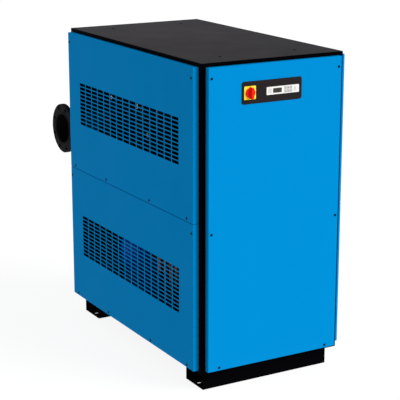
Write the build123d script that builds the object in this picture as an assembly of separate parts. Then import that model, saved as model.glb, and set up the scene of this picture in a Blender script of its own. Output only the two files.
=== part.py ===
"""Refrigerated compressed-air dryer: a floor-standing sheet-metal cabinet with its cooling plant.

Frame: origin on the floor under the cabinet's centre, +X to the right seen from the front,
+Y to the rear, +Z up. All sizes are in millimetres. One STEP file is written per sub-part.
"""

import os
from math import cos, radians, sin

from build123d import *

# ---------------------------------------------------------------- driving sizes
# Cabinet
FRAME_WIDTH = 806.0
FRAME_DEPTH = 1451.0
TOTAL_HEIGHT = 1650.0
FRAME_SHEET = 3.0
PANEL_SHEET = 1.5
SIDE_STAND_OFF = 30.7
FRONT_STAND_OFF = 26.7
SIDE_PANEL_INSET = 25.5
FRONT_PANEL_INSET = 24.2
PANEL_RISE = 16.6
PANEL_DROP = 19.7
PANEL_LIP = 8.0
PANEL_EDGE_RADIUS = 2.0
SEAM_HEIGHT = 871.0
SEAM_GAP = 2.5
POST_LEG = 65.0
POST_LIP = 12.0
TRAY_FLANGE = 60.0
COVER_SHEET = 2.0
COVER_SKIRT = 25.0
RAIL_HEIGHT = 60.0
RAIL_DEPTH = 40.0
CROSS_RAIL_DEPTH = 20.0
CROSS_RAIL_MARGIN = 10.0

# Base beams
BEAM_HEIGHT = 100.0
BEAM_WIDTH = 171.4
BEAM_LENGTH = 737.4
BEAM_SHEET = 4.0
BEAM_LIP = 30.0
BEAM_INSET = 41.5
ANCHOR_SPACING = 684.0
ANCHOR_LENGTH = 25.0
ANCHOR_WIDTH = 15.0
BASE_BOLT_RADIUS = 5.0
BASE_BOLT_SPACING = 400.0
BASE_BOLT_HEX = 8.5
BASE_BOLT_HEAD = 6.4
BASE_BOLT_REACH = 18.0
BASE_NUT_HEIGHT = 8.0

# Grilles
GRILLE_COLUMNS = 15
GRILLE_ROWS = 11
EXHAUST_ROWS = 23
SLOT_LENGTH = 68.0
SLOT_HEIGHT = 16.0
SLOT_CORNER = 3.0
SLOT_PITCH_ALONG = 75.0
SLOT_PITCH_UP = 21.6
UPPER_GRILLE_HEIGHT = 1253.0
LOWER_GRILLE_HEIGHT = 496.0

# Panel screws
SCREW_RADIUS = 3.0
SCREW_HEAD_RADIUS = 6.0
SCREW_HEAD_HEIGHT = 3.0
SCREW_HEAD_EDGE = 1.2
SCREW_SOCKET_RADIUS = 2.2
SCREW_SOCKET_DEPTH = 1.6
SCREW_REACH = 12.0
SCREW_PANEL_CLEARANCE = 0.25
SCREW_FRAME_CLEARANCE = 0.05
SPACER_RADIUS = 5.5
SCREW_EDGE = 16.5
SCREW_TOP_DROP = 51.3
SCREW_SEAM_DROP = 47.5
SCREW_ROW_RISE = 15.5
SCREW_ROW_INSET = 63.0
SCREW_ROW_SPACING = 496.0
COVER_SCREW_X = 215.0
COVER_SCREW_INSET = 148.5

# Controls on the front panel
PLATE_WIDTH = 340.0
PLATE_HEIGHT = 109.0
PLATE_THICKNESS = 3.0
PLATE_CORNER = 12.0
PLATE_EDGE = 1.0
PLATE_X = -28.0
PLATE_Z = 1495.5
SWITCH_X = -155.0
SWITCH_PLATE_SIZE = 65.0
SWITCH_PLATE_THICKNESS = 4.0
SWITCH_PLATE_CORNER = 5.0
SWITCH_NECK_RADIUS = 11.0
SWITCH_BODY_SIZE = 58.0
SWITCH_BODY_DEPTH = 55.0
SWITCH_BODY_CORNER = 4.0
KNOB_RADIUS = 25.0
KNOB_DISC = 8.0
KNOB_GRIP_LENGTH = 56.0
KNOB_GRIP_WIDTH = 15.0
KNOB_GRIP_RISE = 18.0
KNOB_EDGE = 2.5
KNOB_SHAFT_RADIUS = 4.0
KNOB_SHAFT_LENGTH = 30.0
KNOB_SHAFT_CLEARANCE = 2.0
CONTROLLER_X = 29.5
CONTROLLER_WIDTH = 185.0
CONTROLLER_HEIGHT = 38.0
CONTROLLER_BEZEL = 6.0
BEZEL_CORNER = 3.0
BEZEL_EDGE = 1.2
CONTROLLER_BODY_WIDTH = 150.0
CONTROLLER_BODY_HEIGHT = 31.0
CONTROLLER_BODY_DEPTH = 65.0
WINDOW_WIDTH = 50.0
WINDOW_HEIGHT = 23.0
WINDOW_THICKNESS = 1.2
WINDOW_GAP = 0.05
WINDOW_X = -2.5
LABEL_POCKETS = ((-45.0, 21.0), (99.0, 18.0))
LABEL_POCKET_HEIGHT = 24.0
LABEL_POCKET_DEPTH = 0.4
KEY_COLUMNS = (44.0, 59.5, 75.0)
KEY_ROW_PITCH = 16.0
KEY_WIDTH = 12.0
KEY_HEIGHT = 11.0
KEY_CORNER = 2.0
KEY_EDGE = 0.5
KEY_PROUD = 1.0
KEY_INSIDE = 2.5
KEY_BACK_ROOM = 1.5

# Electrical box
BOX_WIDTH = 380.0
BOX_DEPTH = 125.0
BOX_LOW = 945.0
BOX_HIGH = 1395.0
BOX_SHEET = 1.5
BOX_EAR = 30.0
GEAR_WIDTH = 54.0
GEAR_HEIGHT = 85.0
GEAR_DEPTH = 75.0
GEAR_PITCH = 70.0
GEAR_COUNT = 4
GEAR_RAIL_DEPTH = 8.0
GEAR_RAIL_HEIGHT = 35.0

# Compressor
COMPRESSOR_RADIUS = 115.0
COMPRESSOR_HEIGHT = 390.0
COMPRESSOR_DOME = 45.0
COMPRESSOR_Y = 330.0
COMPRESSOR_WALL_GAP = 108.0
FOOT_SIZE = 290.0
FOOT_SHEET = 6.0
FOOT_HOLE_PITCH = 250.0
FOOT_CORNER = 20.0
FOOT_HOLE_RADIUS = 6.3
GROMMET_RADIUS = 18.0
GROMMET_HEIGHT = 25.0
GROMMET_SLEEVE_RADIUS = 6.0
GROMMET_SLEEVE_RISE = 12.0
GROMMET_NUT_RADIUS = 9.0
GROMMET_NUT_HEIGHT = 7.0
TERMINAL_WIDTH = 90.0
TERMINAL_HEIGHT = 110.0
TERMINAL_DEPTH = 55.0
TERMINAL_RISE = 130.0
TERMINAL_FLAT = 6.0
TERMINAL_CORNER = 4.0
DISCHARGE_DROP = 90.0
SUCTION_RISE = 166.0
PORT_WALL = 3.0
SHELL_SEAM_DROP = 110.0
SHELL_SEAM_RISE = 3.0
SHELL_SEAM_WIDTH = 10.0
SHELL_SKIRT_INSET = 30.0

# Condenser and fans
COIL_THICKNESS = 60.0
COIL_LENGTH = 1060.0
COIL_LOW = 200.0
COIL_HIGH = 760.0
COIL_PLATE = 2.0
COIL_RETURN_BENDS = 10
COIL_FIN_INSET = 5.0
COIL_PLATE_MARGIN = 10.0
RETURN_BEND_RADIUS = 5.0
RETURN_BEND_ROOM = 60.0
HEADER_GAP = 24.0
HEADER_BRANCH_RADIUS = 8.0
HEADER_BRANCH_INSET = 30.0
HEADER_STUB_WALL = 1.5
HEADER_STUB_LENGTH = 10.0
HEADER_END_GAP = 20.0
HOT_HEADER_RISE = 280.0
HOT_STUB_DROP = 120.0
LIQUID_HEADER_TOP = 240.0
LIQUID_STUB_RISE = 60.0
SHROUD_DEPTH = 80.0
SHROUD_LENGTH = 1090.0
SHROUD_LOW = 180.0
SHROUD_HIGH = 780.0
SHROUD_WALL_GAP = 23.0
SHROUD_TOE = 40.0
SHROUD_COLLAR_GAP = 23.0
FAN_CENTRE_Z = 480.0
FAN_SPACING = 540.0
FAN_ORIFICE_RADIUS = 212.0
FAN_TIP_RADIUS = 205.0
FAN_HUB_RADIUS = 60.0
FAN_BLADES = 5
FAN_CHORD = 60.0
FAN_PITCH_ANGLE = 30.0
FAN_SHAFT_RADIUS = 6.0
FAN_RUNNING_GAP = 0.3
FAN_HUB_GAP = 6.0
FAN_HUB_EDGE = 5.0
FAN_BLADE_SHEET = 3.0
FAN_BLADE_ROOT = 5.0
FAN_SHAFT_END_GAP = 4.0
MOTOR_RADIUS = 48.0
MOTOR_LENGTH = 40.0
MOTOR_EDGE = 4.0
MOTOR_END = 10.0
GUARD_SECTION = 4.0
GUARD_RINGS = 5
GUARD_SPOKES = 8
GUARD_RIM = 15.0
GUARD_PLATE_MARGIN = 10.0
GUARD_SPOKE_LAP = 4.0

# Heat exchanger and air path
CRADLE_WIDTH = 60.0
CRADLE_HEIGHT = 40.0
CRADLE_SHEET = 3.0
CRADLE_INSET = 10.0
EXCHANGER_WIDTH = 460.0
EXCHANGER_DEPTH = 680.0
EXCHANGER_HEIGHT = 600.0
EXCHANGER_REAR_GAP = 165.5
EXCHANGER_RADIUS = 15.0
PIPE_RADIUS = 84.15
PIPE_WALL = 4.5
PIPE_GAP = 69.7
PIPE_HEIGHT = 1033.0
ELBOW_RADIUS = 200.0
ELBOW_START_GAP = 14.8
PIPE_TAIL = 36.0
FLANGE_RADIUS = 142.5
FLANGE_THICKNESS = 24.0
FLANGE_BORE_CLEARANCE = 1.35
FLANGE_RECESS = 8.0
FLANGE_HOLES = 8
FLANGE_PCD = 240.0
FLANGE_HOLE_RADIUS = 11.0
WELD_LEG = 7.0
WELD_BITE = 1.0
FLANGE_EDGE = 1.5
COLLAR_GAP = 0.3
COLLAR_CORE = 14.0
COLLAR_LIP = 8.0
COLLAR_LIP_THICKNESS = 3.0

# Moisture separator and condensate drain
SEPARATOR_RADIUS = 100.0
SEPARATOR_LOW = 280.0
SEPARATOR_HIGH = 820.0
SEPARATOR_DOME = 40.0
SEPARATOR_COIL_GAP = 12.0
SEPARATOR_REAR_GAP = 295.5
SEPARATOR_LEG_RADIUS = 10.0
SEPARATOR_NECK_RADIUS = 57.15
VESSEL_LAP = 1.0
DRAIN_HEIGHT = 200.0
DRAIN_NOZZLE = 15.0
DRAIN_PIPE_RADIUS = 10.65
DRAIN_PIPE_WALL = 2.6
DRAIN_BEND = 30.0
VALVE_RADIUS = 22.0
VALVE_LENGTH = 60.0
VALVE_WAIST = 4.0
VALVE_HEX_INSET = 1.0
VALVE_HEX_LENGTH = 14.0
STEM_WALL = 4.0
STEM_RADIUS = 5.0
STEM_TOP = 18.0
LEVER_LENGTH = 84.0
LEVER_WIDTH = 18.0
LEVER_SHEET = 3.0
LEVER_RISE = 8.0
LEVER_NUT_RADIUS = 6.5
LEVER_NUT_HEIGHT = 5.0
LEVER_SPINDLE = 10.0
TRAP_LENGTH = 100.0
TRAP_WIDTH = 90.0
TRAP_HEIGHT = 110.0
TRAP_DROP = 45.0
TRAP_CORNER = 12.0
OUTLET_RADIUS = 10.5
OUTLET_BORE = 8.0
OUTLET_PROUD = 25.0
OUTLET_NUT_RADIUS = 17.0
OUTLET_NUT_THICKNESS = 7.0

# Refrigerant circuit
RECEIVER_RADIUS = 76.0
RECEIVER_HEIGHT = 360.0
RECEIVER_SKIRT = 37.0
RECEIVER_DOME = 25.0
RECEIVER_SKIRT_INSET = 26.0
RECEIVER_SKIRT_LAP = 5.0
RECEIVER_X = 40.0
RECEIVER_FRONT_GAP = 305.5
DRIER_RADIUS = 37.0
DRIER_LENGTH = 150.0
DRIER_HEIGHT = 160.0
DRIER_NECK = 12.0
DRIER_EDGE = 10.0
DRIER_MARGIN = 14.0
STUB_LENGTH = 25.0
DISCHARGE_RADIUS = 11.0
SUCTION_RADIUS = 14.3
LIQUID_RADIUS = 8.0
BYPASS_RADIUS = 6.0
LINE_WALL = 1.2
LINE_BEND = 28.0
LOOP_WALL_GAP = 103.0
LOOP_COUNT = 4
LOOP_PITCH = 60.0
LOOP_DROP = 100.0
LOOP_RISE = 140.0
LOOP_FRONT_GAP = 305.0
SUCTION_BEND = 40.0
SUCTION_FRONT_GAP = 130.0
SUCTION_SIDE_GAP = 55.0
CONDENSED_RISE = 60.0
EXPANSION_BEND = 25.0
EXPANSION_WALL_GAP = 133.0
EXPANSION_RAIL_DROP = 41.0
BYPASS_BEND = 25.0
BYPASS_BEND_SHARE = 0.45
BYPASS_TURN_RISE = 80.0
HEADER_RADIUS = 17.5
SEAT_GAP = 0.2
EXPANSION_VALVE_X = -100.0
EXPANSION_VALVE_DEPTH = 45.0
EXPANSION_VALVE_RISE = 59.0
BYPASS_Y = 100.0
BYPASS_RISE = 209.0
BYPASS_REACH = 60.0
BYPASS_BODY_DROP = 40.0
BYPASS_BODY_RISE = 35.0
BYPASS_BODY_RADIUS = 14.0
BYPASS_COIL_RADIUS = 22.0
BYPASS_COIL_HEIGHT = 30.0
VALVE_PORT_RADIUS = 11.0
EXPANSION_BODY_RADIUS = 13.0
EXPANSION_BODY_RISE = 45.0
EXPANSION_HEAD_RADIUS = 21.0
EXPANSION_HEAD_HEIGHT = 14.0
PRESSURE_SWITCH_COUNT = 3
PRESSURE_SWITCH_PITCH = 55.0
PRESSURE_SWITCH_GAP = 75.0
PRESSURE_SWITCH_WIDTH = 36.0
PRESSURE_SWITCH_DEPTH = 42.0
PRESSURE_SWITCH_HEIGHT = 60.0
PRESSURE_SWITCH_DROP = 65.0
PRESSURE_SWITCH_CORNER = 3.0
PRESSURE_SWITCH_PORT_RADIUS = 9.0
PRESSURE_SWITCH_PORT_RISE = 16.0

# Cable entry
GLAND_X = -250.0
GLAND_HEIGHT = 220.0
GLAND_RADIUS = 16.0
GLAND_BORE = 9.0
GLAND_HEX = 21.0
GLAND_FLANGE = 8.0
GLAND_CAP = 16.0
GLAND_CAP_INSET = 2.0
GLAND_TAIL = 10.0
GLAND_NUT = 5.0

# ---------------------------------------------------------------- places worked out from them
HALF_W = FRAME_WIDTH / 2
HALF_D = FRAME_DEPTH / 2
TRAY_TOP = BEAM_HEIGHT + FRAME_SHEET
FRAME_TOP = TOTAL_HEIGHT - COVER_SKIRT
PANEL_LOW = BEAM_HEIGHT + PANEL_RISE
PANEL_HIGH = TOTAL_HEIGHT - PANEL_DROP
SIDE_HALF = HALF_D - SIDE_PANEL_INSET
FRONT_HALF = HALF_W - FRONT_PANEL_INSET
RAIL_LOW = SEAM_HEIGHT - RAIL_HEIGHT / 2
RAIL_HIGH = SEAM_HEIGHT + RAIL_HEIGHT / 2
BEAM_Y = HALF_D - BEAM_INSET - BEAM_WIDTH / 2
SPAN_X = HALF_W - POST_LEG
SPAN_Y = HALF_D - POST_LEG
PANEL_FRONT = -HALF_D - FRONT_STAND_OFF
PANEL_REAR = HALF_D + FRONT_STAND_OFF
PLATE_FRONT = PANEL_FRONT - PLATE_THICKNESS
SWITCH_FRONT = PLATE_FRONT - SWITCH_PLATE_THICKNESS
BEZEL_FRONT = PLATE_FRONT - CONTROLLER_BEZEL
KNOB_BACK = SWITCH_FRONT - FAN_RUNNING_GAP
CROSS_RAIL_FRONT = -HALF_D + FRAME_SHEET
CROSS_RAIL_BACK = CROSS_RAIL_FRONT + CROSS_RAIL_DEPTH
BOX_FRONT = CROSS_RAIL_FRONT + 8.0
SHROUD_OUT = HALF_W - SHROUD_WALL_GAP
SHROUD_IN = SHROUD_OUT - SHROUD_DEPTH
COIL_IN = SHROUD_IN - COIL_THICKNESS
COMPRESSOR_X = -HALF_W + COMPRESSOR_WALL_GAP + COMPRESSOR_RADIUS
FOOT_LOW = TRAY_TOP + GROMMET_HEIGHT
SHELL_LOW = FOOT_LOW + FOOT_SHEET
SHELL_HIGH = SHELL_LOW + COMPRESSOR_HEIGHT
EXCHANGER_LOW = RAIL_HIGH + CRADLE_HEIGHT
EXCHANGER_HIGH = EXCHANGER_LOW + EXCHANGER_HEIGHT
EXCHANGER_REAR = HALF_D - EXCHANGER_REAR_GAP
EXCHANGER_FRONT = EXCHANGER_REAR - EXCHANGER_DEPTH
EXCHANGER_LEFT = -EXCHANGER_WIDTH / 2
ELBOW_START = PANEL_REAR + ELBOW_START_GAP
PIPE_END_Y = ELBOW_START + ELBOW_RADIUS
EXPANSION_VALVE_Z = EXCHANGER_LOW + EXPANSION_VALVE_RISE
BYPASS_Z = EXCHANGER_LOW + BYPASS_RISE
PIPE_X = PIPE_RADIUS + PIPE_GAP / 2
TAIL_END_X = PIPE_X + ELBOW_RADIUS + PIPE_TAIL
FLANGE_FACE_X = TAIL_END_X + FLANGE_RECESS
FLANGE_BACK_X = FLANGE_FACE_X - FLANGE_THICKNESS
SEPARATOR_X = COIL_IN - SEPARATOR_COIL_GAP - SEPARATOR_RADIUS
SEPARATOR_Y = HALF_D - SEPARATOR_REAR_GAP
VALVE_START = SEPARATOR_Y + SEPARATOR_RADIUS
TRAP_START = VALVE_START + VALVE_LENGTH
TRAP_END = TRAP_START + TRAP_LENGTH
STEM_HIGH = DRAIN_HEIGHT + VALVE_RADIUS + STEM_TOP
RECEIVER_Y = -HALF_D + RECEIVER_FRONT_GAP
RECEIVER_LOW = TRAY_TOP + RECEIVER_SKIRT
RECEIVER_HIGH = RECEIVER_LOW + RECEIVER_HEIGHT

# Each side of the frame as a plane: x along the side, y up, z outwards.
FRONT = Plane(origin=(0, -HALF_D, 0), x_dir=(1, 0, 0), z_dir=(0, -1, 0))
REAR = Plane(origin=(0, HALF_D, 0), x_dir=(-1, 0, 0), z_dir=(0, 1, 0))
LEFT = Plane(origin=(-HALF_W, 0, 0), x_dir=(0, -1, 0), z_dir=(-1, 0, 0))
RIGHT = Plane(origin=(HALF_W, 0, 0), x_dir=(0, 1, 0), z_dir=(1, 0, 0))

TURNS = {
    "x": Rotation(0, 90, 0),
    "-x": Rotation(0, -90, 0),
    "y": Rotation(-90, 0, 0),
    "-y": Rotation(90, 0, 0),
    "z": Rotation(0, 0, 0),
    "-z": Rotation(180, 0, 0),
}
FROM_END = (Align.CENTER, Align.CENTER, Align.MIN)


# ---------------------------------------------------------------- shared shapes
def block(x, y, z):
    """Box between a low and a high value on each axis."""
    middle = Pos((x[0] + x[1]) / 2, (y[0] + y[1]) / 2, (z[0] + z[1]) / 2)
    return middle * Box(x[1] - x[0], y[1] - y[0], z[1] - z[0])


def rod(start, direction, radius, length):
    """Cylinder that starts at a point and runs along an axis."""
    return Pos(*start) * TURNS[direction] * Cylinder(radius, length, align=FROM_END)


def ring(start, direction, outer, inner, length):
    """Plain ring that starts at a point and runs along an axis."""
    sketch = Circle(outer) - Circle(inner)
    return Pos(*start) * TURNS[direction] * extrude(sketch, length)


def hexagon(start, direction, radius, length):
    """Hexagonal bar, its size given over the flats as twice the radius."""
    sketch = RegularPolygon(radius, 6, major_radius=False)
    return Pos(*start) * TURNS[direction] * extrude(sketch, length)


def tube(points, outer, wall, bend):
    """Round tube of straight runs joined by tangent arcs."""
    path = FilletPolyline(*points, radius=bend)
    start = Plane(origin=path @ 0, z_dir=path % 0)
    return sweep(start * Circle(outer), path=path) - sweep(start * Circle(outer - wall), path=path)


def group(pieces):
    """Separate solids kept in one node."""
    return Compound(children=[solid for piece in pieces for solid in piece.solids()])


def domed(x, y, low, high, radius, dome):
    """Upright pressure vessel with rounded ends."""
    shell = rod((x, y, low), "z", radius, high - low)
    return fillet(shell.edges().filter_by(GeomType.CIRCLE), dome)


# ---------------------------------------------------------------- screw places
def side_screws(half, low, high, upper):
    """Screw places on one side panel, as (along, up) pairs."""
    drop = SCREW_TOP_DROP if upper else SCREW_SEAM_DROP
    top = [(sign * (half - SCREW_EDGE), high - drop) for sign in (-1, 1)]
    row = (half - SCREW_ROW_INSET, SCREW_ROW_SPACING / 2)
    return top + [(sign * along, low + SCREW_ROW_RISE) for along in row for sign in (-1, 1)]


def end_screws(half, low, high, drop):
    """Screw places at the top and bottom corners of a front or rear panel."""
    top = [(sign * (half - SCREW_EDGE), high - drop) for sign in (-1, 1)]
    return top + [(sign * (half - SCREW_ROW_INSET), low + SCREW_ROW_RISE) for sign in (-1, 1)]


UPPER_LOW = SEAM_HEIGHT + SEAM_GAP / 2
LOWER_HIGH = SEAM_HEIGHT - SEAM_GAP / 2
SIDE_UPPER_SCREWS = side_screws(SIDE_HALF, UPPER_LOW, PANEL_HIGH, True)
SIDE_LOWER_SCREWS = side_screws(SIDE_HALF, PANEL_LOW, LOWER_HIGH, False)
FRONT_MIDDLE_SCREWS = [(sign * (FRONT_HALF - SCREW_EDGE), LOWER_HIGH - SCREW_SEAM_DROP) for sign in (-1, 1)]
FRONT_SCREWS = end_screws(FRONT_HALF, PANEL_LOW, PANEL_HIGH, SCREW_TOP_DROP) + FRONT_MIDDLE_SCREWS
REAR_UPPER_SCREWS = end_screws(FRONT_HALF, UPPER_LOW, PANEL_HIGH, SCREW_TOP_DROP)
REAR_LOWER_SCREWS = end_screws(FRONT_HALF, PANEL_LOW, LOWER_HIGH, SCREW_SEAM_DROP)
SCREW_SETS = (
    (LEFT, SIDE_STAND_OFF, SIDE_UPPER_SCREWS + SIDE_LOWER_SCREWS),
    (RIGHT, SIDE_STAND_OFF, SIDE_UPPER_SCREWS + SIDE_LOWER_SCREWS),
    (FRONT, FRONT_STAND_OFF, FRONT_SCREWS),
    (REAR, FRONT_STAND_OFF, REAR_UPPER_SCREWS + REAR_LOWER_SCREWS),
)
COVER_SCREWS = [(sx * COVER_SCREW_X, sy * (HALF_D - COVER_SCREW_INSET)) for sx in (-1, 1) for sy in (-1, 1)]


def drilled(member):
    """A frame member with the panel screws' holes through it."""
    radius = SCREW_RADIUS + SCREW_FRAME_CLEARANCE
    reach = FRAME_SHEET + 2.0
    box = member.bounding_box()
    drills = []
    for plane, _, points in SCREW_SETS:
        for along, up in points:
            drill = plane * Pos(along, up, 1.0 - reach) * Cylinder(radius, reach, align=FROM_END)
            middle = drill.center()
            inside_x = box.min.X - reach < middle.X < box.max.X + reach
            inside_y = box.min.Y - reach < middle.Y < box.max.Y + reach
            if inside_x and inside_y and box.min.Z < middle.Z < box.max.Z:
                drills.append(drill)
    return member - drills if drills else member


# ---------------------------------------------------------------- base and frame
def base_beam(side):
    """Lipped channel across the cabinet, open upwards and at both ends, with two anchor slots."""
    y = side * BEAM_Y
    half = BEAM_WIDTH / 2
    x = (-BEAM_LENGTH / 2, BEAM_LENGTH / 2)
    beam = block(x, (y - half, y + half), (0, BEAM_HEIGHT))
    beam -= block(x, (y - half + BEAM_SHEET, y + half - BEAM_SHEET), (BEAM_SHEET, BEAM_HEIGHT - BEAM_SHEET))
    mouth = half - BEAM_SHEET - BEAM_LIP
    beam -= block(x, (y - mouth, y + mouth), (BEAM_HEIGHT - BEAM_SHEET, BEAM_HEIGHT))
    slot = extrude(SlotOverall(ANCHOR_LENGTH, ANCHOR_WIDTH), BEAM_SHEET)
    slots = [Pos(sign * ANCHOR_SPACING / 2, y, 0) * slot for sign in (-1, 1)]
    holes = [
        rod((bolt_x, bolt_y, 0), "z", BASE_BOLT_RADIUS + SCREW_FRAME_CLEARANCE, BEAM_HEIGHT)
        for bolt_x, bolt_y in bolt_places()
        if bolt_y * side > 0
    ]
    lip_zone = block(x, (y - half, y + half), (BEAM_HEIGHT - BEAM_SHEET, BEAM_HEIGHT))
    return beam - slots - [hole & lip_zone for hole in holes]


def bolt_places():
    """Where the base beams' lips are bolted to the tray."""
    lip_centre = BEAM_WIDTH / 2 - BEAM_SHEET - BEAM_LIP / 2
    return [
        (sx * BASE_BOLT_SPACING / 2, side * BEAM_Y + edge * lip_centre)
        for sx in (-1, 1)
        for side in (-1, 1)
        for edge in (-1, 1)
    ]


def base_bolt(x, y):
    """Hexagon bolt through the tray and a beam's lip, with its nut."""
    head = hexagon((x, y, TRAY_TOP), "z", BASE_BOLT_HEX, BASE_BOLT_HEAD)
    shank = rod((x, y, BEAM_HEIGHT - BASE_BOLT_REACH), "z", BASE_BOLT_RADIUS, BASE_BOLT_REACH + FRAME_SHEET)
    nut = hexagon((x, y, BEAM_HEIGHT - BEAM_SHEET - BASE_NUT_HEIGHT), "z", BASE_BOLT_HEX, BASE_NUT_HEIGHT)
    return head + shank + nut


def floor_tray():
    """Bottom plate with an upright flange between the posts on each side."""
    tray = block((-HALF_W, HALF_W), (-HALF_D, HALF_D), (BEAM_HEIGHT, TRAY_TOP))
    high = (TRAY_TOP, BEAM_HEIGHT + TRAY_FLANGE)
    for sign in (-1, 1):
        side_x = sorted((sign * HALF_W, sign * (HALF_W - FRAME_SHEET)))
        end_y = sorted((sign * HALF_D, sign * (HALF_D - FRAME_SHEET)))
        tray += block(side_x, (-SPAN_Y, SPAN_Y), high)
        tray += block((-SPAN_X, SPAN_X), end_y, high)
    radius = BASE_BOLT_RADIUS + SCREW_FRAME_CLEARANCE
    tray -= [rod((x, y, BEAM_HEIGHT), "z", radius, FRAME_SHEET) for x, y in bolt_places()]
    return drilled(tray)


def post(sign_x, sign_y):
    """Folded corner post, flush with the tray and carrying the panels' edges."""
    outer_x = sign_x * HALF_W
    outer_y = sign_y * HALF_D
    z = (TRAY_TOP, FRAME_TOP)
    end_x = outer_x - sign_x * POST_LEG
    end_y = outer_y - sign_y * POST_LEG
    sheet_x = outer_x - sign_x * FRAME_SHEET
    sheet_y = outer_y - sign_y * FRAME_SHEET
    shape = block(sorted((outer_x, sheet_x)), sorted((outer_y, end_y)), z)
    shape += block(sorted((outer_x, end_x)), sorted((outer_y, sheet_y)), z)
    lip_x = sheet_x - sign_x * POST_LIP
    lip_y = sheet_y - sign_y * POST_LIP
    shape += block(sorted((sheet_x, lip_x)), sorted((end_y, end_y + sign_y * FRAME_SHEET)), z)
    shape += block(sorted((end_x, end_x + sign_x * FRAME_SHEET)), sorted((sheet_y, lip_y)), z)
    return drilled(shape)


def angle_rail(sign, along_x):
    """Top rail: an angle under the cover's skirt, between two posts."""
    reach = RAIL_DEPTH
    z = (FRAME_TOP - reach, FRAME_TOP)
    half = HALF_D if along_x else HALF_W
    outer = sign * half
    web = sorted((outer, outer - sign * FRAME_SHEET))
    leg = sorted((outer, outer - sign * reach))
    leg_z = (FRAME_TOP - FRAME_SHEET, FRAME_TOP)
    if along_x:
        return block((-SPAN_X, SPAN_X), web, z) + block((-SPAN_X, SPAN_X), leg, leg_z)
    return block(web, (-SPAN_Y, SPAN_Y), z) + block(leg, (-SPAN_Y, SPAN_Y), leg_z)


def channel_rail(sign, along_x):
    """Middle rail behind the panels' seam: a channel open to the inside."""
    half = HALF_D if along_x else HALF_W
    outer = sign * half
    reach = sorted((outer, outer - sign * RAIL_DEPTH))
    hollow = sorted((outer - sign * FRAME_SHEET, outer - sign * RAIL_DEPTH))
    z = (RAIL_LOW, RAIL_HIGH)
    hollow_z = (RAIL_LOW + FRAME_SHEET, RAIL_HIGH - FRAME_SHEET)
    if along_x:
        rail = block((-SPAN_X, SPAN_X), reach, z) - block((-SPAN_X, SPAN_X), hollow, hollow_z)
    else:
        rail = block(reach, (-SPAN_Y, SPAN_Y), z) - block(hollow, (-SPAN_Y, SPAN_Y), hollow_z)
    return drilled(rail)


def top_frame():
    """The four top rails."""
    return group([angle_rail(sign, along_x) for along_x in (True, False) for sign in (-1, 1)])


def middle_rails():
    """The rails at the seam's height on the left, right and rear."""
    return group([channel_rail(-1, False), channel_rail(1, False), channel_rail(1, True)])


def front_cross_rails():
    """Two bars between the front posts that carry the electrical box."""
    rails = []
    for low in (BOX_LOW - BOX_EAR - CROSS_RAIL_MARGIN, BOX_HIGH):
        z = (low, low + BOX_EAR + CROSS_RAIL_MARGIN)
        bar = block((-SPAN_X, SPAN_X), (CROSS_RAIL_FRONT, CROSS_RAIL_BACK), z)
        hollow_y = (CROSS_RAIL_FRONT + CRADLE_SHEET, CROSS_RAIL_BACK - CRADLE_SHEET)
        bar -= block((-SPAN_X, SPAN_X), hollow_y, (z[0] + CRADLE_SHEET, z[1] - CRADLE_SHEET))
        rails.append(bar)
    return group(rails)


def top_cover():
    """Flat cover whose skirt stands on the posts and top rails."""
    x = (-HALF_W, HALF_W)
    y = (-HALF_D, HALF_D)
    cover = block(x, y, (FRAME_TOP, TOTAL_HEIGHT))
    cover = fillet(cover.faces().sort_by(Axis.Z)[-1].edges(), PANEL_EDGE_RADIUS)
    inner_x = (-HALF_W + COVER_SHEET, HALF_W - COVER_SHEET)
    inner_y = (-HALF_D + COVER_SHEET, HALF_D - COVER_SHEET)
    cover -= block(inner_x, inner_y, (FRAME_TOP, TOTAL_HEIGHT - COVER_SHEET))
    radius = SCREW_RADIUS + SCREW_PANEL_CLEARANCE
    return cover - [rod((x, y, TOTAL_HEIGHT - 2 * COVER_SHEET), "z", radius, 10.0) for x, y in COVER_SCREWS]


# ---------------------------------------------------------------- panels
def panel(plane, half, low, high, depth, screws, cuts=()):
    """Box-folded panel with an inner lip, screw bushes and any further cuts."""
    def slab(inset, z_low, z_high):
        return block((-half + inset, half - inset), (low + inset, high - inset), (z_low, z_high))

    shell = slab(0, 0, depth)
    shell = fillet(shell.faces().sort_by(Axis.Z)[-1].edges(), PANEL_EDGE_RADIUS)
    shell -= slab(PANEL_SHEET, PANEL_SHEET, depth - PANEL_SHEET)
    shell -= slab(PANEL_LIP, 0, PANEL_SHEET)
    bore = SCREW_RADIUS + SCREW_PANEL_CLEARANCE
    for along, up in screws:
        shell += Pos(along, up, 0) * Cylinder(SPACER_RADIUS, depth - PANEL_SHEET, align=FROM_END)
        shell -= Pos(along, up, 0) * Cylinder(bore, depth, align=FROM_END)
    if cuts:
        shell -= list(cuts)
    return plane * shell


def grille(centre_up, depth, rows):
    """Rows of slots through a panel's face, in the panel's own plane."""
    slot = extrude(RectangleRounded(SLOT_LENGTH, SLOT_HEIGHT, SLOT_CORNER), 2 * PANEL_SHEET)
    return [
        Pos(column * SLOT_PITCH_ALONG, centre_up + row * SLOT_PITCH_UP, depth - 1.5 * PANEL_SHEET) * slot
        for column in [index - (GRILLE_COLUMNS - 1) / 2 for index in range(GRILLE_COLUMNS)]
        for row in [index - (rows - 1) / 2 for index in range(rows)]
    ]


def side_panel(plane, upper, rows):
    """One of the two panels on a side, with its grille."""
    if upper:
        slots = grille(UPPER_GRILLE_HEIGHT, SIDE_STAND_OFF, rows)
        return panel(plane, SIDE_HALF, UPPER_LOW, PANEL_HIGH, SIDE_STAND_OFF, SIDE_UPPER_SCREWS, slots)
    slots = grille(LOWER_GRILLE_HEIGHT, SIDE_STAND_OFF, rows)
    return panel(plane, SIDE_HALF, PANEL_LOW, LOWER_HIGH, SIDE_STAND_OFF, SIDE_LOWER_SCREWS, slots)


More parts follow.
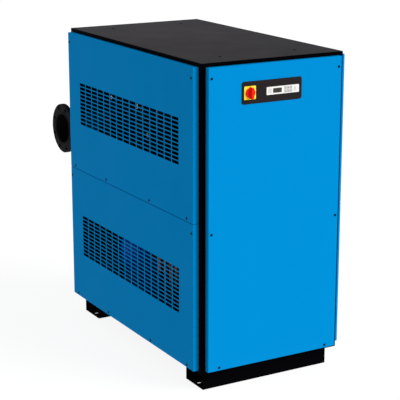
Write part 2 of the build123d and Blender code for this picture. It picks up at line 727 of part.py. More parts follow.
def front_panel():
    """Full-height front panel with openings for the main switch and the controller."""
    cuts = [
        Pos(SWITCH_X, PLATE_Z, 0) * Cylinder(SWITCH_NECK_RADIUS + SEAT_GAP, FRONT_STAND_OFF, align=FROM_END),
        Pos(CONTROLLER_X, PLATE_Z, 0) * controller_cutout(FRONT_STAND_OFF),
    ]
    return panel(FRONT, FRONT_HALF, PANEL_LOW, PANEL_HIGH, FRONT_STAND_OFF, FRONT_SCREWS, cuts)


def controller_cutout(depth):
    """The rectangular hole that the controller's body passes through."""
    width = CONTROLLER_BODY_WIDTH + 2 * SEAT_GAP
    height = CONTROLLER_BODY_HEIGHT + 2 * SEAT_GAP
    return Box(width, height, depth, align=FROM_END)


def rear_upper_panel():
    """Upper rear panel with the two pipe openings."""
    radius = collar_hole_radius()
    openings = [
        Pos(sign * PIPE_X, PIPE_HEIGHT, 0) * Cylinder(radius, FRONT_STAND_OFF, align=FROM_END)
        for sign in (-1, 1)
    ]
    return panel(REAR, FRONT_HALF, UPPER_LOW, PANEL_HIGH, FRONT_STAND_OFF, REAR_UPPER_SCREWS, openings)


def rear_lower_panel():
    """Lower rear panel with the condensate outlet's and the cable gland's holes."""
    openings = [
        Pos(-SEPARATOR_X, DRAIN_HEIGHT, 0)
        * Cylinder(OUTLET_RADIUS + SEAT_GAP, FRONT_STAND_OFF, align=FROM_END),
        Pos(-GLAND_X, GLAND_HEIGHT, 0) * Cylinder(GLAND_RADIUS + SEAT_GAP, FRONT_STAND_OFF, align=FROM_END),
    ]
    return panel(REAR, FRONT_HALF, PANEL_LOW, LOWER_HIGH, FRONT_STAND_OFF, REAR_LOWER_SCREWS, openings)


def panel_screw(depth):
    """Pan-head screw, its head's underside on the panel's face, in the side's own plane."""
    head = Pos(0, 0, depth) * Cylinder(SCREW_HEAD_RADIUS, SCREW_HEAD_HEIGHT, align=FROM_END)
    head = fillet(head.faces().sort_by(Axis.Z)[-1].edges(), SCREW_HEAD_EDGE)
    socket = extrude(RegularPolygon(SCREW_SOCKET_RADIUS, 6), SCREW_SOCKET_DEPTH)
    head -= Pos(0, 0, depth + SCREW_HEAD_HEIGHT - SCREW_SOCKET_DEPTH) * socket
    shank = Pos(0, 0, -SCREW_REACH) * Cylinder(SCREW_RADIUS, depth + SCREW_REACH, align=FROM_END)
    return head + shank


def panel_screws():
    """All screws of the panels and of the top cover."""
    screws = []
    for plane, depth, points in SCREW_SETS:
        screw = panel_screw(depth)
        screws += [plane * Pos(along, up, 0) * screw for along, up in points]
    cover_screw = panel_screw(0)
    screws += [Pos(x, y, TOTAL_HEIGHT) * cover_screw for x, y in COVER_SCREWS]
    return group(screws)


# ---------------------------------------------------------------- controls
def on_front(x, z, y):
    """A place in front of the cabinet whose own z points out of the front."""
    return Plane(origin=(x, y, z), x_dir=(1, 0, 0), z_dir=(0, -1, 0))


def control_plate():
    """Black plate that carries the main switch and the controller."""
    outline = RectangleRounded(PLATE_WIDTH, PLATE_HEIGHT, PLATE_CORNER)
    plate = on_front(PLATE_X, PLATE_Z, PANEL_FRONT) * extrude(outline, PLATE_THICKNESS)
    plate = fillet(plate.faces().sort_by(Axis.Y)[0].edges(), PLATE_EDGE)
    depth = 3 * PLATE_THICKNESS
    place = PANEL_FRONT + PLATE_THICKNESS
    hole = Cylinder(SWITCH_NECK_RADIUS + SEAT_GAP, depth, align=FROM_END)
    plate -= on_front(SWITCH_X, PLATE_Z, place) * hole
    return plate - on_front(CONTROLLER_X, PLATE_Z, place) * controller_cutout(depth)


def switch_plate():
    """Square escutcheon behind the main switch's knob."""
    outline = RectangleRounded(SWITCH_PLATE_SIZE, SWITCH_PLATE_SIZE, SWITCH_PLATE_CORNER)
    plate = extrude(outline, SWITCH_PLATE_THICKNESS)
    plate = fillet(plate.faces().sort_by(Axis.Z)[-1].edges(), PLATE_EDGE)
    plate -= Cylinder(KNOB_SHAFT_RADIUS + KNOB_SHAFT_CLEARANCE, SWITCH_PLATE_THICKNESS, align=FROM_END)
    return on_front(SWITCH_X, PLATE_Z, PLATE_FRONT) * plate


def switch_knob():
    """Rotary knob with a raised grip and the spindle that enters the switch."""
    disc = Cylinder(KNOB_RADIUS, KNOB_DISC, align=FROM_END)
    disc = fillet(disc.faces().sort_by(Axis.Z)[-1].edges(), KNOB_EDGE)
    grip = extrude(SlotOverall(KNOB_GRIP_LENGTH, KNOB_GRIP_WIDTH, rotation=90), KNOB_DISC + KNOB_GRIP_RISE)
    grip = fillet(grip.faces().sort_by(Axis.Z)[-1].edges(), KNOB_EDGE)
    spindle = Cylinder(KNOB_SHAFT_RADIUS, KNOB_SHAFT_LENGTH + 1.0, align=FROM_END)
    spindle = Pos(0, 0, -KNOB_SHAFT_LENGTH) * spindle
    return on_front(SWITCH_X, PLATE_Z, KNOB_BACK) * (disc + grip + spindle)


def switch_body():
    """Switch block behind the panel, its neck passing the panel and the plate."""
    back = PANEL_FRONT + PANEL_SHEET
    x = (SWITCH_X - SWITCH_BODY_SIZE / 2, SWITCH_X + SWITCH_BODY_SIZE / 2)
    z = (PLATE_Z - SWITCH_BODY_SIZE / 2, PLATE_Z + SWITCH_BODY_SIZE / 2)
    body = block(x, (back, back + SWITCH_BODY_DEPTH), z)
    body = fillet(body.edges().filter_by(Axis.Y), SWITCH_BODY_CORNER)
    body += rod((SWITCH_X, PLATE_FRONT, PLATE_Z), "y", SWITCH_NECK_RADIUS, back - PLATE_FRONT)
    bore_length = KNOB_SHAFT_LENGTH + KNOB_SHAFT_CLEARANCE
    bore_radius = KNOB_SHAFT_RADIUS + SCREW_FRAME_CLEARANCE
    return body - rod((SWITCH_X, PLATE_FRONT, PLATE_Z), "y", bore_radius, bore_length)


def key_places():
    """Centres of the controller's keys, as (x, z) pairs."""
    rows = (KEY_ROW_PITCH / 2, -KEY_ROW_PITCH / 2)
    return [(x, PLATE_Z + row) for row in rows for x in KEY_COLUMNS]


def controller_housing():
    """Slim controller: a bezel on the plate and a body through the cut-out."""
    bezel = extrude(RectangleRounded(CONTROLLER_WIDTH, CONTROLLER_HEIGHT, BEZEL_CORNER), CONTROLLER_BEZEL)
    bezel = fillet(bezel.faces().sort_by(Axis.Z)[-1].edges(), BEZEL_EDGE)
    housing = on_front(CONTROLLER_X, PLATE_Z, PLATE_FRONT) * bezel
    width = CONTROLLER_BODY_WIDTH / 2
    height = CONTROLLER_BODY_HEIGHT / 2
    housing += block(
        (CONTROLLER_X - width, CONTROLLER_X + width),
        (PLATE_FRONT, PLATE_FRONT + CONTROLLER_BODY_DEPTH),
        (PLATE_Z - height, PLATE_Z + height),
    )
    recess = Box(WINDOW_WIDTH, WINDOW_HEIGHT, WINDOW_THICKNESS, align=FROM_END)
    housing -= on_front(WINDOW_X, PLATE_Z, BEZEL_FRONT + WINDOW_THICKNESS) * recess
    for x, wide in LABEL_POCKETS:
        pocket = Box(wide, LABEL_POCKET_HEIGHT, LABEL_POCKET_DEPTH, align=FROM_END)
        housing -= on_front(x, PLATE_Z, BEZEL_FRONT + LABEL_POCKET_DEPTH) * pocket
    depth = KEY_INSIDE + KEY_BACK_ROOM
    room = 2 * FAN_RUNNING_GAP
    opening = RectangleRounded(KEY_WIDTH + room, KEY_HEIGHT + room, KEY_CORNER + FAN_RUNNING_GAP)
    well = extrude(opening, depth)
    housing -= [on_front(x, z, BEZEL_FRONT + depth) * well for x, z in key_places()]
    return housing


def controller_window():
    """Display window in the bezel's recess."""
    room = 2 * WINDOW_GAP
    pane = Box(WINDOW_WIDTH - room, WINDOW_HEIGHT - room, WINDOW_THICKNESS, align=FROM_END)
    return on_front(WINDOW_X, PLATE_Z, BEZEL_FRONT + WINDOW_THICKNESS) * pane


def controller_key(x, z):
    """One push key, free in its well."""
    cap = extrude(RectangleRounded(KEY_WIDTH, KEY_HEIGHT, KEY_CORNER), KEY_INSIDE + KEY_PROUD)
    cap = fillet(cap.faces().sort_by(Axis.Z)[-1].edges(), KEY_EDGE)
    return on_front(x, z, BEZEL_FRONT + KEY_INSIDE) * cap


def electrical_box():
    """Open-fronted steel box with an ear at the top and the bottom."""
    half = BOX_WIDTH / 2
    y = (BOX_FRONT, BOX_FRONT + BOX_DEPTH)
    box = block((-half, half), y, (BOX_LOW, BOX_HIGH))
    inner_y = (BOX_FRONT, BOX_FRONT + BOX_DEPTH - BOX_SHEET)
    box -= block((-half + BOX_SHEET, half - BOX_SHEET), inner_y, (BOX_LOW + BOX_SHEET, BOX_HIGH - BOX_SHEET))
    ear_y = (CROSS_RAIL_BACK, CROSS_RAIL_BACK + BOX_SHEET)
    box += block((-half, half), ear_y, (BOX_HIGH, BOX_HIGH + BOX_EAR))
    return box + block((-half, half), ear_y, (BOX_LOW - BOX_EAR, BOX_LOW))


def electrical_lid():
    """Flat lid over the electrical box's front."""
    half = BOX_WIDTH / 2
    return block((-half, half), (BOX_FRONT - BOX_SHEET, BOX_FRONT), (BOX_LOW, BOX_HIGH))


def electrical_gear():
    """Mounting rail with a row of switching modules inside the electrical box."""
    back = BOX_FRONT + BOX_DEPTH - BOX_SHEET
    face = back - GEAR_RAIL_DEPTH
    middle = (BOX_LOW + BOX_HIGH) / 2
    half = (GEAR_COUNT - 1) * GEAR_PITCH / 2 + GEAR_WIDTH / 2
    rail = block((-half, half), (face, back), (middle - GEAR_RAIL_HEIGHT / 2, middle + GEAR_RAIL_HEIGHT / 2))
    modules = []
    for index in range(GEAR_COUNT):
        x = (index - (GEAR_COUNT - 1) / 2) * GEAR_PITCH
        across = (x - GEAR_WIDTH / 2, x + GEAR_WIDTH / 2)
        upright = (middle - GEAR_HEIGHT / 2, middle + GEAR_HEIGHT / 2)
        module = block(across, (face - GEAR_DEPTH, face), upright)
        modules.append(module)
    return group([rail] + modules)


# ---------------------------------------------------------------- compressor
def grommet_places():
    """Centres of the compressor's four rubber mounts."""
    half = FOOT_HOLE_PITCH / 2
    return [(COMPRESSOR_X + sx * half, COMPRESSOR_Y + sy * half) for sx in (-1, 1) for sy in (-1, 1)]


def compressor():
    """Hermetic compressor: welded shell, foot plate, pipe stubs and a flat for the terminals."""
    half = FOOT_SIZE / 2
    x = (COMPRESSOR_X - half, COMPRESSOR_X + half)
    y = (COMPRESSOR_Y - half, COMPRESSOR_Y + half)
    foot = fillet(block(x, y, (FOOT_LOW, SHELL_LOW)).edges().filter_by(Axis.Z), FOOT_CORNER)
    foot -= [rod((gx, gy, FOOT_LOW), "z", FOOT_HOLE_RADIUS, FOOT_SHEET) for gx, gy in grommet_places()]
    shell = domed(COMPRESSOR_X, COMPRESSOR_Y, SHELL_LOW, SHELL_HIGH, COMPRESSOR_RADIUS, COMPRESSOR_DOME)
    skirt_radius = COMPRESSOR_RADIUS - SHELL_SKIRT_INSET
    skirt = rod((COMPRESSOR_X, COMPRESSOR_Y, SHELL_LOW), "z", skirt_radius, COMPRESSOR_DOME)
    seam_start = (COMPRESSOR_X, COMPRESSOR_Y, SHELL_HIGH - SHELL_SEAM_DROP)
    seam = rod(seam_start, "z", COMPRESSOR_RADIUS + SHELL_SEAM_RISE, SHELL_SEAM_WIDTH)
    port_reach = COMPRESSOR_RADIUS + STUB_LENGTH
    discharge_start = (COMPRESSOR_X, COMPRESSOR_Y, discharge_height())
    discharge = rod(discharge_start, "-y", DISCHARGE_RADIUS + PORT_WALL, port_reach)
    suction = rod((COMPRESSOR_X, COMPRESSOR_Y, suction_height()), "x", SUCTION_RADIUS + PORT_WALL, port_reach)
    flat_x = (COMPRESSOR_X - COMPRESSOR_RADIUS - TERMINAL_FLAT, COMPRESSOR_X)
    flat = block(flat_x, (COMPRESSOR_Y - TERMINAL_WIDTH / 2, COMPRESSOR_Y + TERMINAL_WIDTH / 2), terminal_z())
    return foot + shell + skirt + seam + discharge + suction + flat


def discharge_height():
    """Height of the compressor's discharge port."""
    return SHELL_HIGH - DISCHARGE_DROP


def suction_height():
    """Height of the compressor's suction port."""
    return SHELL_LOW + SUCTION_RISE


def terminal_z():
    """Low and high edge of the compressor's terminal cover."""
    low = SHELL_LOW + TERMINAL_RISE
    return (low, low + TERMINAL_HEIGHT)


def compressor_terminal_cover():
    """Box over the compressor's electrical terminals."""
    high = COMPRESSOR_X - COMPRESSOR_RADIUS - TERMINAL_FLAT
    y = (COMPRESSOR_Y - TERMINAL_WIDTH / 2, COMPRESSOR_Y + TERMINAL_WIDTH / 2)
    cover = block((high - TERMINAL_DEPTH, high), y, terminal_z())
    return fillet(cover.faces().sort_by(Axis.X)[0].edges(), TERMINAL_CORNER)


def compressor_grommets():
    """Rubber mounts with their bolts' sleeves, between the tray and the foot plate."""
    mounts = []
    for x, y in grommet_places():
        mount = rod((x, y, TRAY_TOP), "z", GROMMET_RADIUS, GROMMET_HEIGHT)
        mount += rod((x, y, FOOT_LOW), "z", GROMMET_SLEEVE_RADIUS, FOOT_SHEET + GROMMET_SLEEVE_RISE)
        mount += hexagon((x, y, SHELL_LOW), "z", GROMMET_NUT_RADIUS, GROMMET_NUT_HEIGHT)
        mounts.append(mount)
    return group(mounts)


# ---------------------------------------------------------------- condenser and fans
def fan_centres():
    """The fans' heights and places along the cabinet, front one first."""
    return [(-FAN_SPACING / 2, FAN_CENTRE_Z), (FAN_SPACING / 2, FAN_CENTRE_Z)]


def condenser_coil():
    """Finned block with end plates, return bends and a header at each level."""
    half = COIL_LENGTH / 2
    core = block((COIL_IN + COIL_FIN_INSET, SHROUD_IN - COIL_FIN_INSET), (-half, half), (COIL_LOW, COIL_HIGH))
    plate_z = (COIL_LOW - COIL_PLATE_MARGIN, COIL_HIGH + COIL_PLATE_MARGIN)
    for sign in (-1, 1):
        y = sorted((sign * half, sign * (half + COIL_PLATE)))
        core += block((COIL_IN, SHROUD_IN), y, plate_z)
    for low in (plate_z[0], plate_z[1] - COIL_PLATE):
        core += block((COIL_IN, SHROUD_IN), (-half, half), (low, low + COIL_PLATE))
    middle = (COIL_IN + SHROUD_IN) / 2
    pitch = (COIL_HIGH - COIL_LOW) / COIL_RETURN_BENDS
    bend_radius = pitch / 4
    for index in range(COIL_RETURN_BENDS):
        z = COIL_LOW + (index + 0.5) * pitch
        place = Plane(origin=(middle, half + COIL_PLATE, z), x_dir=(0, 0, 1), z_dir=(1, 0, 0))
        whole = place * Torus(bend_radius, RETURN_BEND_RADIUS)
        room_y = (half + COIL_PLATE / 2, half + RETURN_BEND_ROOM)
        core += whole & block((COIL_IN, SHROUD_IN), room_y, (COIL_LOW, COIL_HIGH))
    y = header_y()
    for low, high, stub_z in header_levels():
        core += rod((middle, y, low), "z", HEADER_RADIUS, high - low)
        for z in (low + HEADER_BRANCH_INSET, high - HEADER_BRANCH_INSET):
            core += rod((middle, y, z), "y", HEADER_BRANCH_RADIUS, HEADER_GAP + COIL_PLATE)
        core += rod((middle, y, stub_z), "-x", DISCHARGE_RADIUS + HEADER_STUB_WALL, middle - header_stub_x())
    return core


def header_levels():
    """Low end, high end and stub height of the hot and the liquid header."""
    return [
        (COIL_LOW + HOT_HEADER_RISE, COIL_HIGH - HEADER_END_GAP, COIL_HIGH - HOT_STUB_DROP),
        (COIL_LOW + HEADER_END_GAP, COIL_LOW + LIQUID_HEADER_TOP, COIL_LOW + LIQUID_STUB_RISE),
    ]


def header_stub_x():
    """Where the headers' stubs end and the lines begin."""
    return COIL_IN - HEADER_STUB_LENGTH


def header_y():
    """The headers' distance along the cabinet."""
    return -COIL_LENGTH / 2 - COIL_PLATE - HEADER_GAP


def fan_shroud():
    """Deep sheet box behind the coil with a collar round each fan, standing on two feet."""
    half = SHROUD_LENGTH / 2
    sheet = FRAME_SHEET
    z = (SHROUD_LOW, SHROUD_HIGH)
    shroud = block((SHROUD_IN, SHROUD_OUT), (-half, half), z)
    shroud -= block(
        (SHROUD_IN, SHROUD_OUT - sheet),
        (-half + sheet, half - sheet),
        (SHROUD_LOW + sheet, SHROUD_HIGH - sheet),
    )
    for sign in (-1, 1):
        leg_y = sorted((sign * half, sign * (half - sheet)))
        toe_y = sorted((sign * half, sign * (half - SHROUD_TOE)))
        shroud += block((SHROUD_IN, SHROUD_OUT), leg_y, (TRAY_TOP, SHROUD_LOW))
        shroud += block((SHROUD_IN, SHROUD_OUT), toe_y, (TRAY_TOP, TRAY_TOP + sheet))
    collar = SHROUD_DEPTH - SHROUD_COLLAR_GAP
    for y, height in fan_centres():
        start = (SHROUD_OUT - collar, y, height)
        shroud += rod(start, "x", FAN_ORIFICE_RADIUS + sheet, collar)
        shroud -= rod(start, "x", FAN_ORIFICE_RADIUS, collar)
    rim = block((SHROUD_IN, SHROUD_IN + sheet), (-half, half), z)
    rim -= block((SHROUD_IN, SHROUD_IN + sheet), (-COIL_LENGTH / 2, COIL_LENGTH / 2), (COIL_LOW, COIL_HIGH))
    return shroud + rim


def fan_guard(y, height):
    """Ring-and-spoke guard on the shroud's face, with the plate that carries the motor."""
    x = SHROUD_OUT
    rim = (FAN_ORIFICE_RADIUS + GUARD_RIM, FAN_ORIFICE_RADIUS - GUARD_SECTION)
    guard = ring((x, y, height), "x", *rim, GUARD_SECTION)
    first = MOTOR_RADIUS + GUARD_PLATE_MARGIN
    guard += rod((x, y, height), "x", first, GUARD_SECTION)
    step = (FAN_ORIFICE_RADIUS - first) / (GUARD_RINGS + 1)
    for index in range(GUARD_RINGS):
        outer = first + (index + 1) * step + GUARD_SECTION / 2
        guard += ring((x, y, height), "x", outer, outer - GUARD_SECTION, GUARD_SECTION)
    for index in range(GUARD_SPOKES):
        length = FAN_ORIFICE_RADIUS - first + 2 * GUARD_SPOKE_LAP
        spoke = Pos(0, 0, first + length / 2 - GUARD_SPOKE_LAP) * Box(GUARD_SECTION, GUARD_SECTION, length)
        turn = Rotation(360.0 * index / GUARD_SPOKES, 0, 0)
        guard += Pos(x + GUARD_SECTION / 2, y, height) * turn * spoke
    return guard


def fan_motor(y, height):
    """Motor on the guard's plate, with the bore that its fan's shaft runs in."""
    motor = rod((SHROUD_OUT, y, height), "-x", MOTOR_RADIUS, MOTOR_LENGTH)
    motor = fillet(motor.faces().sort_by(Axis.X)[0].edges(), MOTOR_EDGE)
    bore = FAN_SHAFT_RADIUS + SCREW_FRAME_CLEARANCE
    return motor - rod((SHROUD_OUT - MOTOR_LENGTH, y, height), "x", bore, MOTOR_LENGTH - MOTOR_END)


def condenser_fan(y, height):
    """Axial impeller: hub, pitched blades and a shaft that enters the motor."""
    hub_high = SHROUD_OUT - MOTOR_LENGTH - FAN_RUNNING_GAP
    hub_low = SHROUD_IN + FAN_HUB_GAP
    fan = rod((hub_low, y, height), "x", FAN_HUB_RADIUS, hub_high - hub_low)
    fan = fillet(fan.faces().sort_by(Axis.X)[0].edges(), FAN_HUB_EDGE)
    blade_x = (hub_low + hub_high) / 2
    span = FAN_TIP_RADIUS - FAN_HUB_RADIUS + FAN_BLADE_ROOT
    blade = Rotation(0, 0, FAN_PITCH_ANGLE) * Box(FAN_BLADE_SHEET, FAN_CHORD, span)
    blade = Pos(0, 0, FAN_TIP_RADIUS - span / 2) * blade
    for index in range(FAN_BLADES):
        fan += Pos(blade_x, y, height) * Rotation(360.0 * index / FAN_BLADES, 0, 0) * blade
    shaft = hub_high - hub_low + MOTOR_LENGTH - MOTOR_END - FAN_SHAFT_END_GAP
    return fan + rod((hub_low, y, height), "x", FAN_SHAFT_RADIUS, shaft)


# ---------------------------------------------------------------- heat exchanger and air path
def exchanger_cradle():
    """Two hollow beams across the side rails that carry the heat exchanger."""
    beams = []
    for y in (EXCHANGER_FRONT + CRADLE_INSET, EXCHANGER_REAR - CRADLE_INSET - CRADLE_WIDTH):
        across = (y, y + CRADLE_WIDTH)
        x = (-HALF_W + FRAME_SHEET, HALF_W - FRAME_SHEET)
        beam = block(x, across, (RAIL_HIGH, EXCHANGER_LOW))
        inner = (y + CRADLE_SHEET, y + CRADLE_WIDTH - CRADLE_SHEET)
        beams.append(beam - block(x, inner, (RAIL_HIGH + CRADLE_SHEET, EXCHANGER_LOW - CRADLE_SHEET)))
    return group(beams)


def heat_exchanger():
    """Insulated air-to-air and air-to-refrigerant exchanger block."""
    x = (EXCHANGER_LEFT, -EXCHANGER_LEFT)
    core = block(x, (EXCHANGER_FRONT, EXCHANGER_REAR), (EXCHANGER_LOW, EXCHANGER_HIGH))
    return fillet(core.edges(), EXCHANGER_RADIUS)


def air_pipe(side):
    """Pipe from the exchanger's rear face through the rear panel and round an elbow to the side."""
    x = side * PIPE_X
    run = tube(
        [
            (x, EXCHANGER_REAR, PIPE_HEIGHT),
            (x, PIPE_END_Y, PIPE_HEIGHT),
            (side * TAIL_END_X, PIPE_END_Y, PIPE_HEIGHT),
        ],
        PIPE_RADIUS, PIPE_WALL, ELBOW_RADIUS,
    )
    weld_start = (side * FLANGE_BACK_X, PIPE_END_Y, PIPE_HEIGHT)
    inward = "x" if side < 0 else "-x"
    weld = Cone(PIPE_RADIUS + WELD_LEG, PIPE_RADIUS, WELD_LEG, align=FROM_END)
    weld = Pos(*weld_start) * TURNS[inward] * weld
    weld -= rod(weld_start, inward, PIPE_RADIUS - WELD_BITE, WELD_LEG)
    return run + weld


def air_flange(side):
    """Slip-on pipe flange, its bolt holes straddling the centre lines."""
    outward = "-x" if side < 0 else "x"
    back = (side * FLANGE_BACK_X, PIPE_END_Y, PIPE_HEIGHT)
    flange = ring(back, outward, FLANGE_RADIUS, PIPE_RADIUS + FLANGE_BORE_CLEARANCE, FLANGE_THICKNESS)
    flange = chamfer(flange.edges().filter_by(GeomType.CIRCLE).sort_by(SortBy.RADIUS)[-2:], FLANGE_EDGE)
    holes = []
    for index in range(FLANGE_HOLES):
        angle = radians(360.0 * (index + 0.5) / FLANGE_HOLES)
        y = PIPE_END_Y + FLANGE_PCD / 2 * cos(angle)
        z = PIPE_HEIGHT + FLANGE_PCD / 2 * sin(angle)
        holes.append(rod((side * FLANGE_BACK_X, y, z), outward, FLANGE_HOLE_RADIUS, FLANGE_THICKNESS))
    return flange - holes


def collar_hole_radius():
    """Radius of the rear panel's pipe openings."""
    return PIPE_RADIUS + COLLAR_GAP + COLLAR_CORE + SEAT_GAP


def pipe_collars():
    """Rubber collars that close the rear panel round the two pipes."""
    inner = PIPE_RADIUS + COLLAR_GAP
    core = inner + COLLAR_CORE
    collars = []
    for side in (-1, 1):
        low = PANEL_REAR - PANEL_SHEET - COLLAR_LIP_THICKNESS
        start = (side * PIPE_X, low, PIPE_HEIGHT)
        collar = ring(start, "y", core, inner, PANEL_SHEET + 2 * COLLAR_LIP_THICKNESS)
        collar += ring(start, "y", core + COLLAR_LIP, inner, COLLAR_LIP_THICKNESS)
        outside = (side * PIPE_X, PANEL_REAR, PIPE_HEIGHT)
        collars.append(collar + ring(outside, "y", core + COLLAR_LIP, inner, COLLAR_LIP_THICKNESS))
    return group(collars)


def moisture_separator():
    """Upright vessel on four legs under the exchanger, with a neck up and a drain nozzle down."""
    vessel = domed(SEPARATOR_X, SEPARATOR_Y, SEPARATOR_LOW, SEPARATOR_HIGH, SEPARATOR_RADIUS, SEPARATOR_DOME)
    neck_low = SEPARATOR_HIGH - VESSEL_LAP
    vessel += rod((SEPARATOR_X, SEPARATOR_Y, neck_low), "z", SEPARATOR_NECK_RADIUS, EXCHANGER_LOW - neck_low)
    foot = SEPARATOR_RADIUS - 2 * SEPARATOR_LEG_RADIUS
    for index in range(4):
        angle = radians(45.0 + 90.0 * index)
        start = (SEPARATOR_X + foot * cos(angle), SEPARATOR_Y + foot * sin(angle), TRAY_TOP)
        vessel += rod(start, "z", SEPARATOR_LEG_RADIUS, SEPARATOR_LOW + SEPARATOR_DOME - TRAY_TOP)
    nozzle = SEPARATOR_LOW - DRAIN_NOZZLE
    nozzle_length = DRAIN_NOZZLE + 2 * VESSEL_LAP
    vessel += rod((SEPARATOR_X, SEPARATOR_Y, nozzle), "z", DRAIN_PIPE_RADIUS + PORT_WALL, nozzle_length)
    return vessel


def condensate_drain():
    """Drain pipe, shut-off valve body, float trap and the outlet through the rear panel."""
    x = SEPARATOR_X
    z = DRAIN_HEIGHT
    pipe = tube(
        [(x, SEPARATOR_Y, SEPARATOR_LOW - DRAIN_NOZZLE), (x, SEPARATOR_Y, z), (x, VALVE_START, z)],
        DRAIN_PIPE_RADIUS, DRAIN_PIPE_WALL, DRAIN_BEND,
    )
    valve = rod((x, VALVE_START, z), "y", VALVE_RADIUS - VALVE_WAIST, VALVE_LENGTH)
    for start in (VALVE_START, TRAP_START - VALVE_HEX_LENGTH):
        valve += hexagon((x, start, z), "y", VALVE_RADIUS - VALVE_HEX_INSET, VALVE_HEX_LENGTH)
    valve_y = VALVE_START + VALVE_LENGTH / 2
    valve += Pos(x, valve_y, z) * Sphere(VALVE_RADIUS)
    valve += rod((x, valve_y, z), "z", STEM_RADIUS + STEM_WALL, VALVE_RADIUS + STEM_TOP - LEVER_RISE)
    socket = rod((x, valve_y, z + VALVE_RADIUS), "z", STEM_RADIUS + SCREW_FRAME_CLEARANCE, STEM_TOP)
    across = (x - TRAP_WIDTH / 2, x + TRAP_WIDTH / 2)
    trap = block(across, (TRAP_START, TRAP_END), (z - TRAP_DROP, z - TRAP_DROP + TRAP_HEIGHT))
    trap = fillet(trap.edges().filter_by(Axis.Z), TRAP_CORNER)
    outlet_end = PANEL_REAR + OUTLET_PROUD
    outlet = rod((x, TRAP_END, z), "y", OUTLET_RADIUS, outlet_end - TRAP_END)
    outlet += hexagon((x, PANEL_REAR, z), "y", OUTLET_NUT_RADIUS, OUTLET_NUT_THICKNESS)
    inner_nut = PANEL_REAR - PANEL_SHEET - OUTLET_NUT_THICKNESS
    outlet += hexagon((x, inner_nut, z), "y", OUTLET_NUT_RADIUS, OUTLET_NUT_THICKNESS)
    outlet -= rod((x, TRAP_END, z), "y", OUTLET_BORE, outlet_end - TRAP_END)
    return group([pipe, valve - socket, trap, outlet])


def drain_lever():
    """Flat handle with a stub spindle that turns in the drain valve's stem."""
    x = SEPARATOR_X
    y = VALVE_START + VALVE_LENGTH / 2
    low = STEM_HIGH - LEVER_RISE + FAN_RUNNING_GAP
    handle = Pos(x, y - LEVER_LENGTH / 2 + LEVER_WIDTH / 2, low) * extrude(
        SlotOverall(LEVER_LENGTH, LEVER_WIDTH, rotation=90), LEVER_SHEET
    )
    nut = hexagon((x, y, low + LEVER_SHEET), "z", LEVER_NUT_RADIUS, LEVER_NUT_HEIGHT)
    return handle + nut + rod((x, y, low - LEVER_SPINDLE), "z", STEM_RADIUS, LEVER_SPINDLE)


def cable_gland():
    """Screwed gland through the rear panel for the supply cable."""
    start = (GLAND_X, PANEL_REAR, GLAND_HEIGHT)
    inside = PANEL_REAR - PANEL_SHEET
    tail = (GLAND_X, inside - GLAND_TAIL, GLAND_HEIGHT)
    gland = hexagon(start, "y", GLAND_HEX, GLAND_FLANGE)
    cap_start = (GLAND_X, PANEL_REAR + GLAND_FLANGE, GLAND_HEIGHT)
    gland += rod(cap_start, "y", GLAND_HEX - GLAND_CAP_INSET, GLAND_CAP)
    gland += rod(tail, "y", GLAND_RADIUS, GLAND_TAIL + PANEL_SHEET)
    gland += hexagon((GLAND_X, inside - GLAND_NUT, GLAND_HEIGHT), "y", GLAND_HEX, GLAND_NUT)
    return gland - rod(tail, "y", GLAND_BORE, GLAND_TAIL + PANEL_SHEET + GLAND_FLANGE + GLAND_CAP)


# ---------------------------------------------------------------- refrigerant circuit
def liquid_receiver():
    """Upright receiver on a skirt, with an inlet stub on top and an outlet stub at the side."""
    vessel = domed(RECEIVER_X, RECEIVER_Y, RECEIVER_LOW, RECEIVER_HIGH, RECEIVER_RADIUS, RECEIVER_DOME)
    skirt = (RECEIVER_RADIUS - RECEIVER_SKIRT_INSET, RECEIVER_SKIRT + RECEIVER_SKIRT_LAP)
    vessel += rod((RECEIVER_X, RECEIVER_Y, TRAY_TOP), "z", *skirt)
    stub_start = (RECEIVER_X, RECEIVER_Y, RECEIVER_HIGH - VESSEL_LAP)
    vessel += rod(stub_start, "z", LIQUID_RADIUS + PORT_WALL, STUB_LENGTH)
    reach = RECEIVER_RADIUS + STUB_LENGTH
    return vessel + rod((RECEIVER_X, RECEIVER_Y, drier_height()), "-x", LIQUID_RADIUS + PORT_WALL, reach)


def drier_height():
    """Height of the receiver's outlet and of the filter drier."""
    return max(DRIER_HEIGHT, RECEIVER_LOW + LIQUID_RADIUS + DRIER_MARGIN)


def drier_ends():
    """Right and left end of the filter drier along X."""
    right = RECEIVER_X - RECEIVER_RADIUS - STUB_LENGTH
    return right, right - DRIER_LENGTH


def filter_drier():
    """Cartridge in the liquid line."""
    right, left = drier_ends()
    start = (right - DRIER_NECK, RECEIVER_Y, drier_height())
    body = rod(start, "-x", DRIER_RADIUS, right - left - 2 * DRIER_NECK)
    body = fillet(body.edges().filter_by(GeomType.CIRCLE), DRIER_EDGE)
    return body + rod((right, RECEIVER_Y, drier_height()), "-x", LIQUID_RADIUS + PORT_WALL, right - left)


def discharge_line():
    """Hot gas line: a looped run beside the compressor, then across to the hot header."""
    start_y = COMPRESSOR_Y - COMPRESSOR_RADIUS - STUB_LENGTH
    port = discharge_height()
    loop_x = -HALF_W + LOOP_WALL_GAP
    low = port - LOOP_DROP
    high = port + LOOP_RISE
    y = start_y - LOOP_FRONT_GAP
    points = [(COMPRESSOR_X, start_y, port), (COMPRESSOR_X, y, port), (loop_x, y, port), (loop_x, y, high)]
    for index in range(1, LOOP_COUNT + 1):
        at = y - index * LOOP_PITCH
        ends = (high, low) if index % 2 else (low, high)
        points += [(loop_x, at, ends[0]), (loop_x, at, ends[1])]
    stub_z = header_levels()[0][2]
    points[-1] = (loop_x, points[-1][1], stub_z)
    points += [(loop_x, header_y(), stub_z), (header_stub_x(), header_y(), stub_z)]
    return tube(points, DISCHARGE_RADIUS, LINE_WALL, LINE_BEND)


